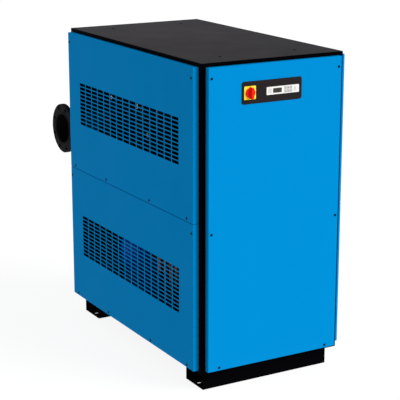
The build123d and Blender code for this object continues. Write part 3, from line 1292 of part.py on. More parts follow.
def suction_line():
    """Cold gas line from the exchanger's underside to the compressor."""
    x = suction_x()
    y = COMPRESSOR_Y - SUCTION_FRONT_GAP
    z = suction_height()
    end = COMPRESSOR_X + COMPRESSOR_RADIUS + STUB_LENGTH
    points = [(x, y, EXCHANGER_LOW), (x, y, z), (x, COMPRESSOR_Y, z), (end, COMPRESSOR_Y, z)]
    return tube(points, SUCTION_RADIUS, LINE_WALL, SUCTION_BEND)


def suction_x():
    """Where the suction line drops, just clear of the compressor."""
    return COMPRESSOR_X + COMPRESSOR_RADIUS + STUB_LENGTH + SUCTION_SIDE_GAP


def condensed_line():
    """Liquid line from the condenser's lower header to the receiver's top."""
    stub_z = header_levels()[1][2]
    top = RECEIVER_HIGH - VESSEL_LAP + STUB_LENGTH
    over = top + CONDENSED_RISE
    points = [
        (header_stub_x(), header_y(), stub_z),
        (RECEIVER_X, header_y(), stub_z),
        (RECEIVER_X, header_y(), over),
        (RECEIVER_X, RECEIVER_Y, over),
        (RECEIVER_X, RECEIVER_Y, top),
    ]
    return tube(points, LIQUID_RADIUS, LINE_WALL, LINE_BEND)


def expansion_line():
    """Liquid line from the filter drier up to the expansion valve."""
    left = drier_ends()[1]
    drop_x = -HALF_W + EXPANSION_WALL_GAP
    up = RAIL_HIGH - EXPANSION_RAIL_DROP
    points = [
        (left, RECEIVER_Y, drier_height()),
        (drop_x, RECEIVER_Y, drier_height()),
        (drop_x, RECEIVER_Y, up),
        (EXPANSION_VALVE_X, RECEIVER_Y, up),
        (EXPANSION_VALVE_X, RECEIVER_Y, EXPANSION_VALVE_Z),
        (EXPANSION_VALVE_X, EXCHANGER_FRONT - EXPANSION_VALVE_DEPTH, EXPANSION_VALVE_Z),
    ]
    return tube(points, LIQUID_RADIUS, LINE_WALL, EXPANSION_BEND)


def bypass_line():
    """Hot gas line from the discharge run up to the bypass valve."""
    x = EXCHANGER_LEFT - BYPASS_REACH
    turn_z = SHELL_HIGH + BYPASS_TURN_RISE
    bend = min(BYPASS_BEND, BYPASS_BEND_SHARE * abs(COMPRESSOR_X - x))
    points = [
        (x, BYPASS_Y, BYPASS_Z - BYPASS_BODY_DROP),
        (x, BYPASS_Y, turn_z),
        (COMPRESSOR_X, BYPASS_Y, turn_z),
        (COMPRESSOR_X, BYPASS_Y, discharge_height() + DISCHARGE_RADIUS + SEAT_GAP),
    ]
    return tube(points, BYPASS_RADIUS, LINE_WALL, bend)


def refrigerant_lines():
    """Every copper line of the circuit."""
    return group([discharge_line(), suction_line(), condensed_line(), expansion_line(), bypass_line()])


def control_valves():
    """Brass expansion valve on the exchanger's front and bypass valve on its left side."""
    start = EXCHANGER_FRONT - EXPANSION_VALVE_DEPTH
    middle = (EXPANSION_VALVE_X, EXCHANGER_FRONT - EXPANSION_VALVE_DEPTH / 2)
    seat = (EXPANSION_VALVE_X, start, EXPANSION_VALVE_Z)
    body = rod(seat, "y", EXPANSION_BODY_RADIUS, EXPANSION_VALVE_DEPTH)
    body += rod((*middle, EXPANSION_VALVE_Z), "z", VALVE_PORT_RADIUS, EXPANSION_BODY_RISE)
    head_z = EXPANSION_VALVE_Z + EXPANSION_BODY_RISE
    body += rod((*middle, head_z), "z", EXPANSION_HEAD_RADIUS, EXPANSION_HEAD_HEIGHT)
    axis = (EXCHANGER_LEFT - BYPASS_REACH, BYPASS_Y)
    bypass = rod((EXCHANGER_LEFT, BYPASS_Y, BYPASS_Z), "-x", VALVE_PORT_RADIUS, BYPASS_REACH)
    low, high = BYPASS_Z - BYPASS_BODY_DROP, BYPASS_Z + BYPASS_BODY_RISE
    bypass += rod((*axis, low), "z", BYPASS_BODY_RADIUS, high - low)
    bypass += rod((*axis, high), "z", BYPASS_COIL_RADIUS, BYPASS_COIL_HEIGHT)
    return group([body, bypass])


def pressure_switches():
    """Three small pressure switches on the exchanger's left side."""
    switches = []
    x = (EXCHANGER_LEFT - PRESSURE_SWITCH_DEPTH, EXCHANGER_LEFT)
    low = BYPASS_Z - PRESSURE_SWITCH_DROP
    high = low + PRESSURE_SWITCH_HEIGHT
    for index in range(PRESSURE_SWITCH_COUNT):
        y = BYPASS_Y - PRESSURE_SWITCH_GAP - PRESSURE_SWITCH_PITCH * index
        case = block(x, (y - PRESSURE_SWITCH_WIDTH / 2, y + PRESSURE_SWITCH_WIDTH / 2), (low, high))
        case = fillet(case.edges().filter_by(Axis.Z), PRESSURE_SWITCH_CORNER)
        port = (EXCHANGER_LEFT - PRESSURE_SWITCH_DEPTH / 2, y, high)
        switches.append(case + rod(port, "z", PRESSURE_SWITCH_PORT_RADIUS, PRESSURE_SWITCH_PORT_RISE))
    return group(switches)


# ---------------------------------------------------------------- the assembly
def assembly():
    """Every node's name and shape."""
    nodes = {
        "base_front_beam": base_beam(-1),
        "base_rear_beam": base_beam(1),
        "base_bolts": group([base_bolt(x, y) for x, y in bolt_places()]),
        "floor_tray": floor_tray(),
        "post_front_left": post(-1, -1),
        "post_front_right": post(1, -1),
        "post_rear_left": post(-1, 1),
        "post_rear_right": post(1, 1),
        "top_frame": top_frame(),
        "middle_rails": middle_rails(),
        "front_cross_rails": front_cross_rails(),
        "top_cover": top_cover(),
        "front_panel": front_panel(),
        "left_upper_panel": side_panel(LEFT, True, GRILLE_ROWS),
        "left_lower_panel": side_panel(LEFT, False, GRILLE_ROWS),
        "right_upper_panel": side_panel(RIGHT, True, GRILLE_ROWS),
        "right_lower_panel": side_panel(RIGHT, False, EXHAUST_ROWS),
        "rear_upper_panel": rear_upper_panel(),
        "rear_lower_panel": rear_lower_panel(),
        "panel_screws": panel_screws(),
        "control_plate": control_plate(),
        "switch_plate": switch_plate(),
        "switch_knob": switch_knob(),
        "switch_body": switch_body(),
        "controller_housing": controller_housing(),
        "controller_window": controller_window(),
        "electrical_box": electrical_box(),
        "electrical_lid": electrical_lid(),
        "electrical_gear": electrical_gear(),
        "compressor": compressor(),
        "compressor_grommets": compressor_grommets(),
        "compressor_terminal_cover": compressor_terminal_cover(),
        "condenser_coil": condenser_coil(),
        "fan_shroud": fan_shroud(),
        "fan_guards": group([fan_guard(y, z) for y, z in fan_centres()]),
        "fan_motors": group([fan_motor(y, z) for y, z in fan_centres()]),
        "condenser_fan_front": condenser_fan(*fan_centres()[0]),
        "condenser_fan_rear": condenser_fan(*fan_centres()[1]),
        "exchanger_cradle": exchanger_cradle(),
        "heat_exchanger": heat_exchanger(),
        "moisture_separator": moisture_separator(),
        "inlet_pipe": air_pipe(-1),
        "inlet_flange": air_flange(-1),
        "outlet_pipe": air_pipe(1),
        "outlet_flange": air_flange(1),
        "pipe_collars": pipe_collars(),
        "liquid_receiver": liquid_receiver(),
        "filter_drier": filter_drier(),
        "refrigerant_lines": refrigerant_lines(),
        "control_valves": control_valves(),
        "pressure_switches": pressure_switches(),
        "condensate_drain": condensate_drain(),
        "drain_lever": drain_lever(),
        "cable_gland": cable_gland(),
    }
    for index, (x, z) in enumerate(key_places(), start=1):
        nodes[f"controller_key_{index}"] = controller_key(x, z)
    return nodes


os.makedirs("parts", exist_ok=True)
for name, shape in assembly().items():
    export_step(shape, f"parts/{name}.step")
    print(name, len(shape.solids()))
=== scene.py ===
"""Refrigerated compressed-air dryer: its finishes, fine detail, floor, light and camera.

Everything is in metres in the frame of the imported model: the origin is on the floor under the
cabinet's centre, +X to the right seen from the front, +Y to the rear and +Z up.
"""
import logging
import random
from dataclasses import dataclass
from enum import Enum
from math import cos, pi, radians, sin

import bmesh
import bpy
from mathutils import Matrix, Vector


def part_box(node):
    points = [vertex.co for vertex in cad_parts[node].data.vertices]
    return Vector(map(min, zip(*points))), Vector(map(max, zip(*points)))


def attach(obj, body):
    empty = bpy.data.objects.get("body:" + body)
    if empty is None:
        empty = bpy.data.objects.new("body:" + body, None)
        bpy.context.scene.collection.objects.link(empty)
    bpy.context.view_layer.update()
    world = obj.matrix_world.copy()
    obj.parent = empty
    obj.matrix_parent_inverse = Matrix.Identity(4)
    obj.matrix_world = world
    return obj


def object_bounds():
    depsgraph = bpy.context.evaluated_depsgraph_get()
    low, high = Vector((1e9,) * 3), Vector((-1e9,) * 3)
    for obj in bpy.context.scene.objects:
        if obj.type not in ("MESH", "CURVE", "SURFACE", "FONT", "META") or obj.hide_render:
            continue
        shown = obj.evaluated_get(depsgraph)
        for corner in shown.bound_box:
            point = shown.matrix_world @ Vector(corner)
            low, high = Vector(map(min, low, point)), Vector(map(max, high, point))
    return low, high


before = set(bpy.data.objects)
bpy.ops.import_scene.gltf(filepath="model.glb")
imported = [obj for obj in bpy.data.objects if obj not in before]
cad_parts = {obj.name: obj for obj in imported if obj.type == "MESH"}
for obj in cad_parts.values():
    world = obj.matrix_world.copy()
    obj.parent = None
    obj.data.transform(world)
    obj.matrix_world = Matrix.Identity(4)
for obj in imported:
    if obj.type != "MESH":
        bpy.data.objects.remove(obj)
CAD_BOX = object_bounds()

LOG = logging.getLogger("dryer")
Point = tuple[float, float, float]
Span = tuple[float, float]
Outline = list[tuple[float, float]]
Tree = bpy.types.NodeTree
Node = bpy.types.Node
Socket = bpy.types.NodeSocket

MM = 0.001
# Numbers of the axes in a point.
ACROSS, BACK, UP = 0, 1, 2
# Where the colour mixing node keeps its two colours and its result.
MIX_UNDER, MIX_OVER, MIX_RESULT = 6, 7, 2
# Most values of a cloudy pattern lie in this span.
NOISE_SPAN = (0.3, 0.7)
SOFT_EDGE_STEPS = 2
SHARP_ANGLE = radians(35.0)
KEY_COUNT = 6
WHITE_LIGHT = (1.0, 1.0, 1.0, 1.0)


# ---------------------------------------------------------------- shared helpers
def linear(code: str) -> tuple[float, float, float, float]:
    """Turns an sRGB hex colour into the linear colour that a shader takes.

    Args:
        code: Colour such as "#1A2B3C".

    Returns:
        Red, green, blue and an alpha of one.
    """
    # The figures are those of the sRGB standard: a short straight foot, then a power curve.
    parts = [int(code[start:start + 2], 16) / 255 for start in (1, 3, 5)]
    red, green, blue = (p / 12.92 if p <= 0.04045 else ((p + 0.055) / 1.055) ** 2.4 for p in parts)
    return red, green, blue, 1.0


def add_node(tree: Tree, kind: str, settings: dict | None = None, wires: dict | None = None) -> Node:
    """Adds one shader node with its settings and links.

    Args:
        tree: Node tree that takes the node.
        kind: Node type.
        settings: Input values by input name or number, and properties by name.
        wires: Output sockets by the name or number of the input that they feed.

    Returns:
        The new node.
    """
    node = tree.nodes.new(kind)
    properties = {key: value for key, value in (settings or {}).items() if hasattr(node, str(key))}
    for key, value in properties.items():
        setattr(node, key, value)
    for key, value in (settings or {}).items():
        if key not in properties:
            node.inputs[key].default_value = value
    for key, source in (wires or {}).items():
        tree.links.new(source, node.inputs[key])
    return node


def noise(tree: Tree, place: Socket, size_mm: float, detail: float, **more: float) -> Socket:
    """Adds a cloudy pattern.

    Args:
        tree: Node tree that takes it.
        place: Position on the object, in metres.
        size_mm: Size of its patches on the real surface.
        detail: How many finer layers lie over them.
        **more: Its other inputs, by name.

    Returns:
        The pattern's value at each place.
    """
    settings = {"Scale": 1 / (size_mm * MM), "Detail": detail, **more}
    return add_node(tree, "ShaderNodeTexNoise", settings, {"Vector": place}).outputs[0]


def cells(tree: Tree, place: Socket, size_mm: float, feature: str = "F1") -> Node:
    """Adds a pattern of cells that meet edge to edge.

    Args:
        tree: Node tree that takes it.
        place: Position on the object, in metres.
        size_mm: Size of a cell on the real surface.
        feature: How the cells meet.

    Returns:
        The pattern's node, with the outputs "Distance" and "Color".
    """
    settings = {"feature": feature, "Scale": 1 / (size_mm * MM)}
    return add_node(tree, "ShaderNodeTexVoronoi", settings, {"Vector": place})


def remap(tree: Tree, source: Socket, span: Span, target: Span, curve: str = "LINEAR") -> Socket:
    """Stretches a value from one span to another and holds it at both ends.

    Args:
        tree: Node tree that takes the step.
        source: The value.
        span: Its lowest and highest value that count.
        target: What they become.
        curve: How it runs between them.

    Returns:
        The stretched value.
    """
    settings = {"interpolation_type": curve, 1: span[0], 2: span[1], 3: target[0], 4: target[1]}
    return add_node(tree, "ShaderNodeMapRange", settings, {0: source}).outputs[0]


def product(tree: Tree, first: Socket, second: Socket) -> Socket:
    """Multiplies two values."""
    return add_node(tree, "ShaderNodeMath", {"operation": "MULTIPLY"}, {0: first, 1: second}).outputs[0]


def blend(tree: Tree, amount: Socket, under: str | Socket, over: str) -> Socket:
    """Lays one colour over another.

    Args:
        tree: Node tree that takes the step.
        amount: How much of the upper colour shows, from nought to one.
        under: The lower colour, as a hex code or as a socket that carries it.
        over: The upper colour's hex code.

    Returns:
        The mixed colour.
    """
    mix = add_node(tree, "ShaderNodeMix", {"data_type": "RGBA", MIX_OVER: linear(over)}, {0: amount})
    if isinstance(under, str):
        mix.inputs[MIX_UNDER].default_value = linear(under)
    else:
        tree.links.new(under, mix.inputs[MIX_UNDER])
    return mix.outputs[MIX_RESULT]


def relief(tree: Tree, shader: Node, height: Socket, depth_mm: float, strength: float = 1.0) -> None:
    """Lets light fall on a surface as if a pattern stood out from it.

    Args:
        tree: Node tree of the material.
        shader: Its surface shader.
        height: The pattern.
        depth_mm: How far its highest places stand out.
        strength: How much of that shows.
    """
    settings = {"Strength": strength, "Distance": depth_mm * MM}
    bump = add_node(tree, "ShaderNodeBump", settings, {"Height": height})
    tree.links.new(bump.outputs[0], shader.inputs["Normal"])


# ---------------------------------------------------------------- finishes
@dataclass(frozen=True)
class Finish:
    """What all finishes share: a name, a colour and a gloss.

    Sizes of patterns are in millimetres on the real surface.
    """

    name: str
    colour: str
    roughness: float
    specular: float = 0.5
    metallic: float = 0.0

    def build(self) -> bpy.types.Material:
        """Makes the material.

        Returns:
            The material with its whole node tree.
        """
        material = bpy.data.materials.new(self.name)
        material.use_nodes = True
        tree = material.node_tree
        tree.nodes.clear()
        shader = add_node(tree, "ShaderNodeBsdfPrincipled", {
            "Base Color": linear(self.colour), "Roughness": self.roughness,
            "Metallic": self.metallic, "Specular IOR Level": self.specular})
        add_node(tree, "ShaderNodeOutputMaterial", wires={"Surface": shader.outputs["BSDF"]})
        place = add_node(tree, "ShaderNodeTexCoord").outputs["Object"]
        self.dress(tree, shader, place)
        material.diffuse_color = linear(self.colour)
        return material

    def dress(self, tree: Tree, shader: Node, place: Socket) -> None:
        """Adds what makes this finish more than a plain colour.

        Args:
            tree: Node tree of the material.
            shader: Its surface shader.
            place: Position on the object, in metres.
        """
        raise NotImplementedError

    def vary_gloss(self, tree: Tree, shader: Node, source: Socket, span: Span, swing: Span) -> None:
        """Lets a pattern make the surface a little duller or glossier.

        Args:
            tree: Node tree of the material.
            shader: Its surface shader.
            source: The pattern.
            span: The pattern's lowest and highest value that count.
            swing: What they add to the finish's roughness.
        """
        target = (self.roughness + swing[0], self.roughness + swing[1])
        tree.links.new(remap(tree, source, span, target), shader.inputs["Roughness"])


@dataclass(frozen=True)
class PowderCoat(Finish):
    """Polyester powder coat, sprayed on steel and baked: satin, with a slight orange peel."""

    shade: str = "#000000"
    peel_mm: float = 3.0
    peel_height_mm: float = 0.02
    cloud_mm: float = 260.0
    gloss_swing: Span = (-0.04, 0.06)
    dust: str = "#8C8A84"
    dust_amount: float = 0.12
    dust_top_mm: float = 260.0
    # The dust's specks are drawn about three times coarser than real ones, so that they show.
    speck_mm: float = 6.0
    speck_span: Span = (0.45, 0.75)
    speck_amounts: Span = (0.15, 1.0)
    # Grey film on the faces that look up: dust, and a painted sheen for the light that the top reflects.
    top_dust_and_sheen: str = ""
    sheen_slopes: Span = (0.75, 0.98)
    # The film lies thicker away from the front edge: the painted sheen is drawn stronger towards the rear.
    sheen_amounts: Span = (0.70, 0.92)
    streak_mm: float = 180.0
    streak_amounts: Span = (0.94, 1.06)

    def dress(self, tree: Tree, shader: Node, place: Socket) -> None:
        """Adds the peel, a faint drift in shade, and dust that thins out upwards from the floor.

        Args:
            tree: Node tree of the material.
            shader: Its surface shader.
            place: Position on the object, in metres.
        """
        cloud = noise(tree, place, self.cloud_mm, 3.0)
        paint = blend(tree, cloud, self.colour, self.shade)
        specks = noise(tree, place, self.speck_mm, 6.0, Roughness=0.75)
        height = add_node(tree, "ShaderNodeSeparateXYZ", wires={0: place}).outputs[UP]
        fade = remap(tree, height, (0.0, self.dust_top_mm * MM), (self.dust_amount, 0.0), "SMOOTHSTEP")
        grain = remap(tree, specks, self.speck_span, self.speck_amounts)
        coloured = blend(tree, product(tree, fade, grain), paint, self.dust)
        # Faces that look up get a grey film of dust and painted sheen.
        if self.top_dust_and_sheen:
            coloured = self.lay_dust_and_sheen(tree, place, coloured)
        tree.links.new(coloured, shader.inputs["Base Color"])
        self.vary_gloss(tree, shader, cloud, NOISE_SPAN, self.gloss_swing)
        # Orange peel is a soft ripple about two to three millimetres across.
        relief(tree, shader, noise(tree, place, self.peel_mm, 1.5), self.peel_height_mm)

    def lay_dust_and_sheen(self, tree: Tree, place: Socket, under: Socket) -> Socket:
        """Lays a grey film on the faces that look up: dust, and a painted sheen that stands in for the light
        on the top.

        Args:
            tree: Node tree of the material.
            place: Position on the object, in metres.
            under: Colour of the paint below the dust.

        Returns:
            The colour with the film on it.
        """
        normal = add_node(tree, "ShaderNodeTexCoord").outputs["Normal"]
        slope = add_node(tree, "ShaderNodeSeparateXYZ", wires={0: normal}).outputs[UP]
        # The painted sheen lies only on faces that look up, and is stronger towards the rear.
        level = remap(tree, slope, self.sheen_slopes, (0.0, 1.0), "SMOOTHSTEP")
        along = add_node(tree, "ShaderNodeSeparateXYZ", wires={0: place}).outputs[BACK]
        depth = remap(tree, along, (CAD_BOX[0][1], -CAD_BOX[0][1]), self.sheen_amounts)
        streaks = noise(tree, place, self.streak_mm, 5.0, Roughness=0.6)
        amount = remap(tree, streaks, NOISE_SPAN, self.streak_amounts)
        film = product(tree, level, product(tree, depth, amount))
        return blend(tree, film, under, self.top_dust_and_sheen)


@dataclass(frozen=True)
class MouldedPlastic(Finish):
    """Injection-moulded ABS or nylon from a spark-eroded mould: an even fine matt grain."""

    # Real spark grain is about 0.1 mm; it is drawn coarser here so that it shows.
    grain_mm: float = 1.2
    grain_height_mm: float = 0.02
    grain_strength: float = 0.6
    rubbed_mm: float = 14.0
    gloss_swing: Span = (-0.06, 0.06)
    brightness: Span = (0.94, 1.04)

    def dress(self, tree: Tree, shader: Node, place: Socket) -> None:
        """Adds the mould's grain and the slightly uneven shine of handled plastic.

        Args:
            tree: Node tree of the material.
            shader: Its surface shader.
            place: Position on the object, in metres.
        """
        grain = noise(tree, place, self.grain_mm, 2.0)
        rubbed = noise(tree, place, self.rubbed_mm, 4.0)
        self.vary_gloss(tree, shader, rubbed, NOISE_SPAN, self.gloss_swing)
        value = remap(tree, rubbed, NOISE_SPAN, self.brightness)
        tint = add_node(tree, "ShaderNodeHueSaturation", {"Color": linear(self.colour)}, {"Value": value})
        tree.links.new(tint.outputs[0], shader.inputs["Base Color"])
        relief(tree, shader, grain, self.grain_height_mm, self.grain_strength)


@dataclass(frozen=True)
class BareMetal(Finish):
    """Uncoated metal as worked: drawn, rolled or plated, with tarnish in soft patches."""

    tarnish: str = "#000000"
    tarnish_mm: float = 30.0
    tarnish_amount: float = 0.5
    tarnish_span: Span = (0.42, 0.62)
    dull_span: Span = (0.4, 0.65)
    gloss_swing: Span = (0.0, 0.2)
    scratch_mm: float = 1.5
    scratch_height_mm: float = 0.01
    scratch_strength: float = 0.5

    def dress(self, tree: Tree, shader: Node, place: Socket) -> None:
        """Adds patches of tarnish, which are also duller, and fine handling marks.

        Args:
            tree: Node tree of the material.
            shader: Its surface shader.
            place: Position on the object, in metres.
        """
        patch = noise(tree, place, self.tarnish_mm, 6.0, Roughness=0.6, Distortion=0.4)
        amount = remap(tree, patch, self.tarnish_span, (0.0, self.tarnish_amount))
        tree.links.new(blend(tree, amount, self.colour, self.tarnish), shader.inputs["Base Color"])
        self.vary_gloss(tree, shader, patch, self.dull_span, self.gloss_swing)
        marks = noise(tree, place, self.scratch_mm, 3.0)
        relief(tree, shader, marks, self.scratch_height_mm, self.scratch_strength)


@dataclass(frozen=True)
class GalvanisedSheet(Finish):
    """Hot-dip galvanised steel sheet: flat crystals of zinc, each a slightly different grey."""

    spangle_mm: float = 14.0
    spangle_height_mm: float = 0.03
    spangle_strength: float = 0.3
    darker: str = "#7F8588"
    gloss_swing: Span = (-0.1, 0.12)

    def dress(self, tree: Tree, shader: Node, place: Socket) -> None:
        """Adds the zinc's spangle as colour and gloss, one value to a crystal.

        Args:
            tree: Node tree of the material.
            shader: Its surface shader.
            place: Position on the object, in metres.
        """
        crystals = cells(tree, place, self.spangle_mm)
        tones = add_node(tree, "ShaderNodeSeparateColor", wires={0: crystals.outputs["Color"]}).outputs
        tree.links.new(blend(tree, tones[0], self.colour, self.darker), shader.inputs["Base Color"])
        self.vary_gloss(tree, shader, tones[1], (0.0, 1.0), self.gloss_swing)
        relief(tree, shader, crystals.outputs["Distance"], self.spangle_height_mm, self.spangle_strength)


@dataclass(frozen=True)
class Elastomer(Finish):
    """Rubber or closed-cell foam with a moulded skin: matt, with a soft pebbled surface."""

    pebble_mm: float = 4.0
    pebble_height_mm: float = 0.2
    pebble_strength: float = 0.8
    bloom: str = "#3A3A3A"
    bloom_mm: float = 45.0
    bloom_span: Span = (0.4, 0.7)
    bloom_amount: float = 0.6

    def dress(self, tree: Tree, shader: Node, place: Socket) -> None:
        """Adds the pebbled skin and the greyish bloom that rubber takes with age.

        Args:
            tree: Node tree of the material.
            shader: Its surface shader.
            place: Position on the object, in metres.
        """
        pebbles = cells(tree, place, self.pebble_mm, "SMOOTH_F1")
        bloom = noise(tree, place, self.bloom_mm, 5.0)
        amount = remap(tree, bloom, self.bloom_span, (0.0, self.bloom_amount))
        tree.links.new(blend(tree, amount, self.colour, self.bloom), shader.inputs["Base Color"])
        relief(tree, shader, pebbles.outputs["Distance"], self.pebble_height_mm, self.pebble_strength)


# Polyester powder coat on the sheet panels: an even, saturated blue with next to no glare.
BLUE_PANEL_PAINT = PowderCoat(
    "blue_powder_coat", "#007BB9", 0.5, 0.004, shade="#0079B7", dust="#2F7BA8", dust_amount=0.08)
# The same coat in black on the folded frame: it swallows light, and only its rims are seen.
BLACK_FRAME_PAINT = PowderCoat(
    "black_powder_coat", "#030204", 0.5, 0.004, shade="#020203", dust="#2A2928", dust_amount=0.05)
# A coarser black coat on the top cover, greyed on top by dust and by a painted sheen that stands in for the
# light it reflects.
BLACK_COVER_PAINT = PowderCoat(
    "black_textured_powder_coat", "#030204", 0.5, 0.01, shade="#020203", peel_mm=1.6, peel_height_mm=0.05,
    top_dust_and_sheen="#383639")
# Light grey coat of switchgear boxes: plain and slightly satin.
GREY_ENCLOSURE_PAINT = PowderCoat("grey_powder_coat", "#B9BCB8", 0.45, 0.3, shade="#B1B4B0", peel_mm=1.8)
# Stove enamel on the compressor's shell: deep blue and glossier than the panels.
BLUE_COMPRESSOR_PAINT = PowderCoat(
    "blue_stove_enamel", "#0A4FC8", 0.4, 0.12, shade="#0946B4", dust="#2A56A8", dust_amount=0.06)
# Brushed or sprayed pipe enamel over welds and rolled steel: nearly black, a little lumpy.
BLACK_PIPE_PAINT = PowderCoat(
    "black_pipe_enamel", "#110F12", 0.42, 0.012, shade="#0E0C0F", peel_height_mm=0.08)
# Green enamel on the filter drier's shell, smooth and shiny.
GREEN_DRIER_PAINT = PowderCoat("green_enamel", "#2E6B45", 0.35, 0.5, shade="#28603D")
# Black zinc-flake coat on the screws: dull, and on heads that look up greyed by dust and the cover's painted
# sheen.
BLACK_SCREW_FINISH = PowderCoat(
    "black_zinc_flake", "#030305", 0.5, 0.06, shade="#060607", peel_mm=1.0, dust="#2A2928", top_dust_and_sheen="#2C2A2D")
# Bright zinc plate on bolts, yellowing slightly where it has been handled.
ZINC_PLATE = BareMetal("bright_zinc_plate", "#C8CACB", 0.3, 0.5, 1.0, tarnish="#9C9A90", tarnish_mm=9.0)
# Stainless steel handle, stamped from sheet: clean and grey.
LEVER_STEEL = BareMetal("stainless_steel", "#B8B9BA", 0.3, 0.5, 1.0, tarnish="#9A9A9B", tarnish_mm=15.0)
# Rolled aluminium as it leaves the mill: pale and soft in its shine.
FIN_ALUMINIUM = BareMetal(
    "mill_finish_aluminium", "#B4B8BB", 0.4, 0.5, 1.0, tarnish="#8F9497", tarnish_mm=60.0)
# Drawn copper tube, gone brown in air: only patches still look like copper.
COPPER_TUBE = BareMetal(
    "drawn_copper", "#6E4630", 0.48, 0.5, 1.0, tarnish="#3A281E", tarnish_mm=45.0, tarnish_amount=0.85)
# Forged brass body of the drain valve: yellow, with a dull skin.
VALVE_BRASS = BareMetal("forged_brass", "#C9A45A", 0.32, 0.5, 1.0, tarnish="#8A6E3A", tarnish_mm=20.0)
# The refrigerant valves' brass, brown from years of warmth.
AGED_BRASS = BareMetal(
    "aged_brass", "#352C1C", 0.55, 0.5, 1.0, tarnish="#18130C", tarnish_mm=14.0, tarnish_amount=0.8)
# Wire guard dipped in black plastic: dull, with softly rounded wires.
GUARD_WIRE = BareMetal("black_dipped_wire", "#2A2A2C", 0.45, 0.4, 0.0, tarnish="#1C1C1E")
# Hot-dip galvanised sheet: crystals of zinc in greys that differ slightly.
GALVANISED = GalvanisedSheet("galvanised_steel", "#A5AAAC", 0.45, 0.5, 0.9)
# Moulded ABS of the control plate: charcoal rather than black.
BLACK_ABS = MouldedPlastic("black_abs", "#1E1A1C", 0.5, 0.05)
# Glass-filled polyamide cases of the pressure switches: black and dry.
BLACK_POLYAMIDE = MouldedPlastic("black_polyamide", "#101114", 0.55, 0.1)
# Signal yellow of the main switch's square plate.
YELLOW_PLASTIC = MouldedPlastic("yellow_polyamide", "#EFD336", 0.4, 0.06)
# Signal red of the main switch's knob, with a low sheen.
RED_PLASTIC = MouldedPlastic("red_polyamide", "#EE1812", 0.35, 0.06)
# White ABS frame of the controller.
WHITE_PLASTIC = MouldedPlastic("white_abs", "#D6D6D3", 0.4, 0.3)
# Grey polyamide of the switchgear.
GREY_PLASTIC = MouldedPlastic("grey_polyamide", "#8A8D8F", 0.45, 0.4)
# Smoked polycarbonate window: dark, smooth and slightly see-through at its figures.
DISPLAY_WINDOW = MouldedPlastic("smoked_polycarbonate", "#393736", 0.2, 0.15, grain_height_mm=0.002)
# Unlit figures seen as a darker tone in the window.
DISPLAY_FIGURES = MouldedPlastic("display_ink", "#1B1A19", 0.3, 0.1, grain_height_mm=0.001)
# Screen-printed ink on the films: a thin, even, matt layer.
GREY_PRINT = MouldedPlastic("grey_screen_print", "#6E6C6C", 0.5, 0.1, grain_height_mm=0.003)
# The same ink darker, on the keys.
DARK_GREY_PRINT = MouldedPlastic("dark_grey_screen_print", "#4E4C4C", 0.5, 0.1, grain_height_mm=0.003)
# Black ink of the main switch's marks.
BLACK_PRINT = MouldedPlastic("black_screen_print", "#141414", 0.5, 0.1, grain_height_mm=0.003)
# Polyester label film: pale grey and smooth.
LABEL_FILM = MouldedPlastic("polyester_label_film", "#C9C7C7", 0.35, 0.2, grain_height_mm=0.004)
# The same film round the keys, a little greyer.
KEY_FIELD_FILM = MouldedPlastic("grey_polyester_film", "#BDB9B9", 0.4, 0.15, grain_height_mm=0.004)
# White polyamide tags and caps of the probes.
TAG_PLASTIC = MouldedPlastic("white_polyamide", "#F1F1EE", 0.45, 0.2)
# Pale green polyamide plug on the pressure transmitter.
PLUG_PLASTIC = MouldedPlastic("pale_green_polyamide", "#A9C4BE", 0.5, 0.2)
# Silicone keys: softer in shine than the frame that they sit in.
KEY_RUBBER = MouldedPlastic("grey_silicone_key", "#B4B1B1", 0.55, 0.15, grain_height_mm=0.01)
# Vinyl tape: smooth, with a slight shine that sets it off from the foam under it.
BLACK_TAPE = MouldedPlastic("black_vinyl_tape", "#0B0B0C", 0.35, 0.2, grain_mm=2.0)
# EPDM rubber of collars and mounts: matt, with a greyish bloom.
BLACK_RUBBER = Elastomer("epdm_rubber", "#141416", 0.7, 0.3)
# Open-cell foam on the inside of the panels: it looks like a hole from outside.
ACOUSTIC_FOAM = Elastomer(
    "acoustic_foam", "#050506", 0.95, 0.02, pebble_mm=9.0, pebble_height_mm=1.2, bloom="#0A0A0B")
# Closed-cell nitrile foam round the cold exchanger: dull, with a leathery skin.
BLACK_INSULATION = Elastomer(
    "nitrile_foam", "#080809", 0.85, 0.05, pebble_mm=7.0, pebble_height_mm=0.5, bloom="#101011")

SLOT_FINISHES = {
    "blue_panel_paint": BLUE_PANEL_PAINT,
    "black_frame_paint": BLACK_FRAME_PAINT,
    "black_cover_paint": BLACK_COVER_PAINT,
    "black_screw_finish": BLACK_SCREW_FINISH,
    "zinc_plate": ZINC_PLATE,
    "black_abs": BLACK_ABS,
    "yellow_plastic": YELLOW_PLASTIC,
    "red_plastic": RED_PLASTIC,
    "white_plastic": WHITE_PLASTIC,
    "grey_plastic": GREY_PLASTIC,
    "display_window": DISPLAY_WINDOW,
    "grey_enclosure_paint": GREY_ENCLOSURE_PAINT,
    "blue_compressor_paint": BLUE_COMPRESSOR_PAINT,
    "black_rubber": BLACK_RUBBER,
    "fin_aluminium": FIN_ALUMINIUM,
    "galvanised_sheet": GALVANISED,
    "guard_wire": GUARD_WIRE,
    "black_insulation": BLACK_INSULATION,
    "black_pipe_paint": BLACK_PIPE_PAINT,
    "green_drier_paint": GREEN_DRIER_PAINT,
    "copper_tube": COPPER_TUBE,
    "valve_brass": VALVE_BRASS,
    "lever_steel": LEVER_STEEL,
}

NODE_FINISHES = {
    "control_valves": AGED_BRASS,
    "pressure_switches": BLACK_POLYAMIDE,
    **{f"controller_key_{number}": KEY_RUBBER for number in range(1, KEY_COUNT + 1)},
}


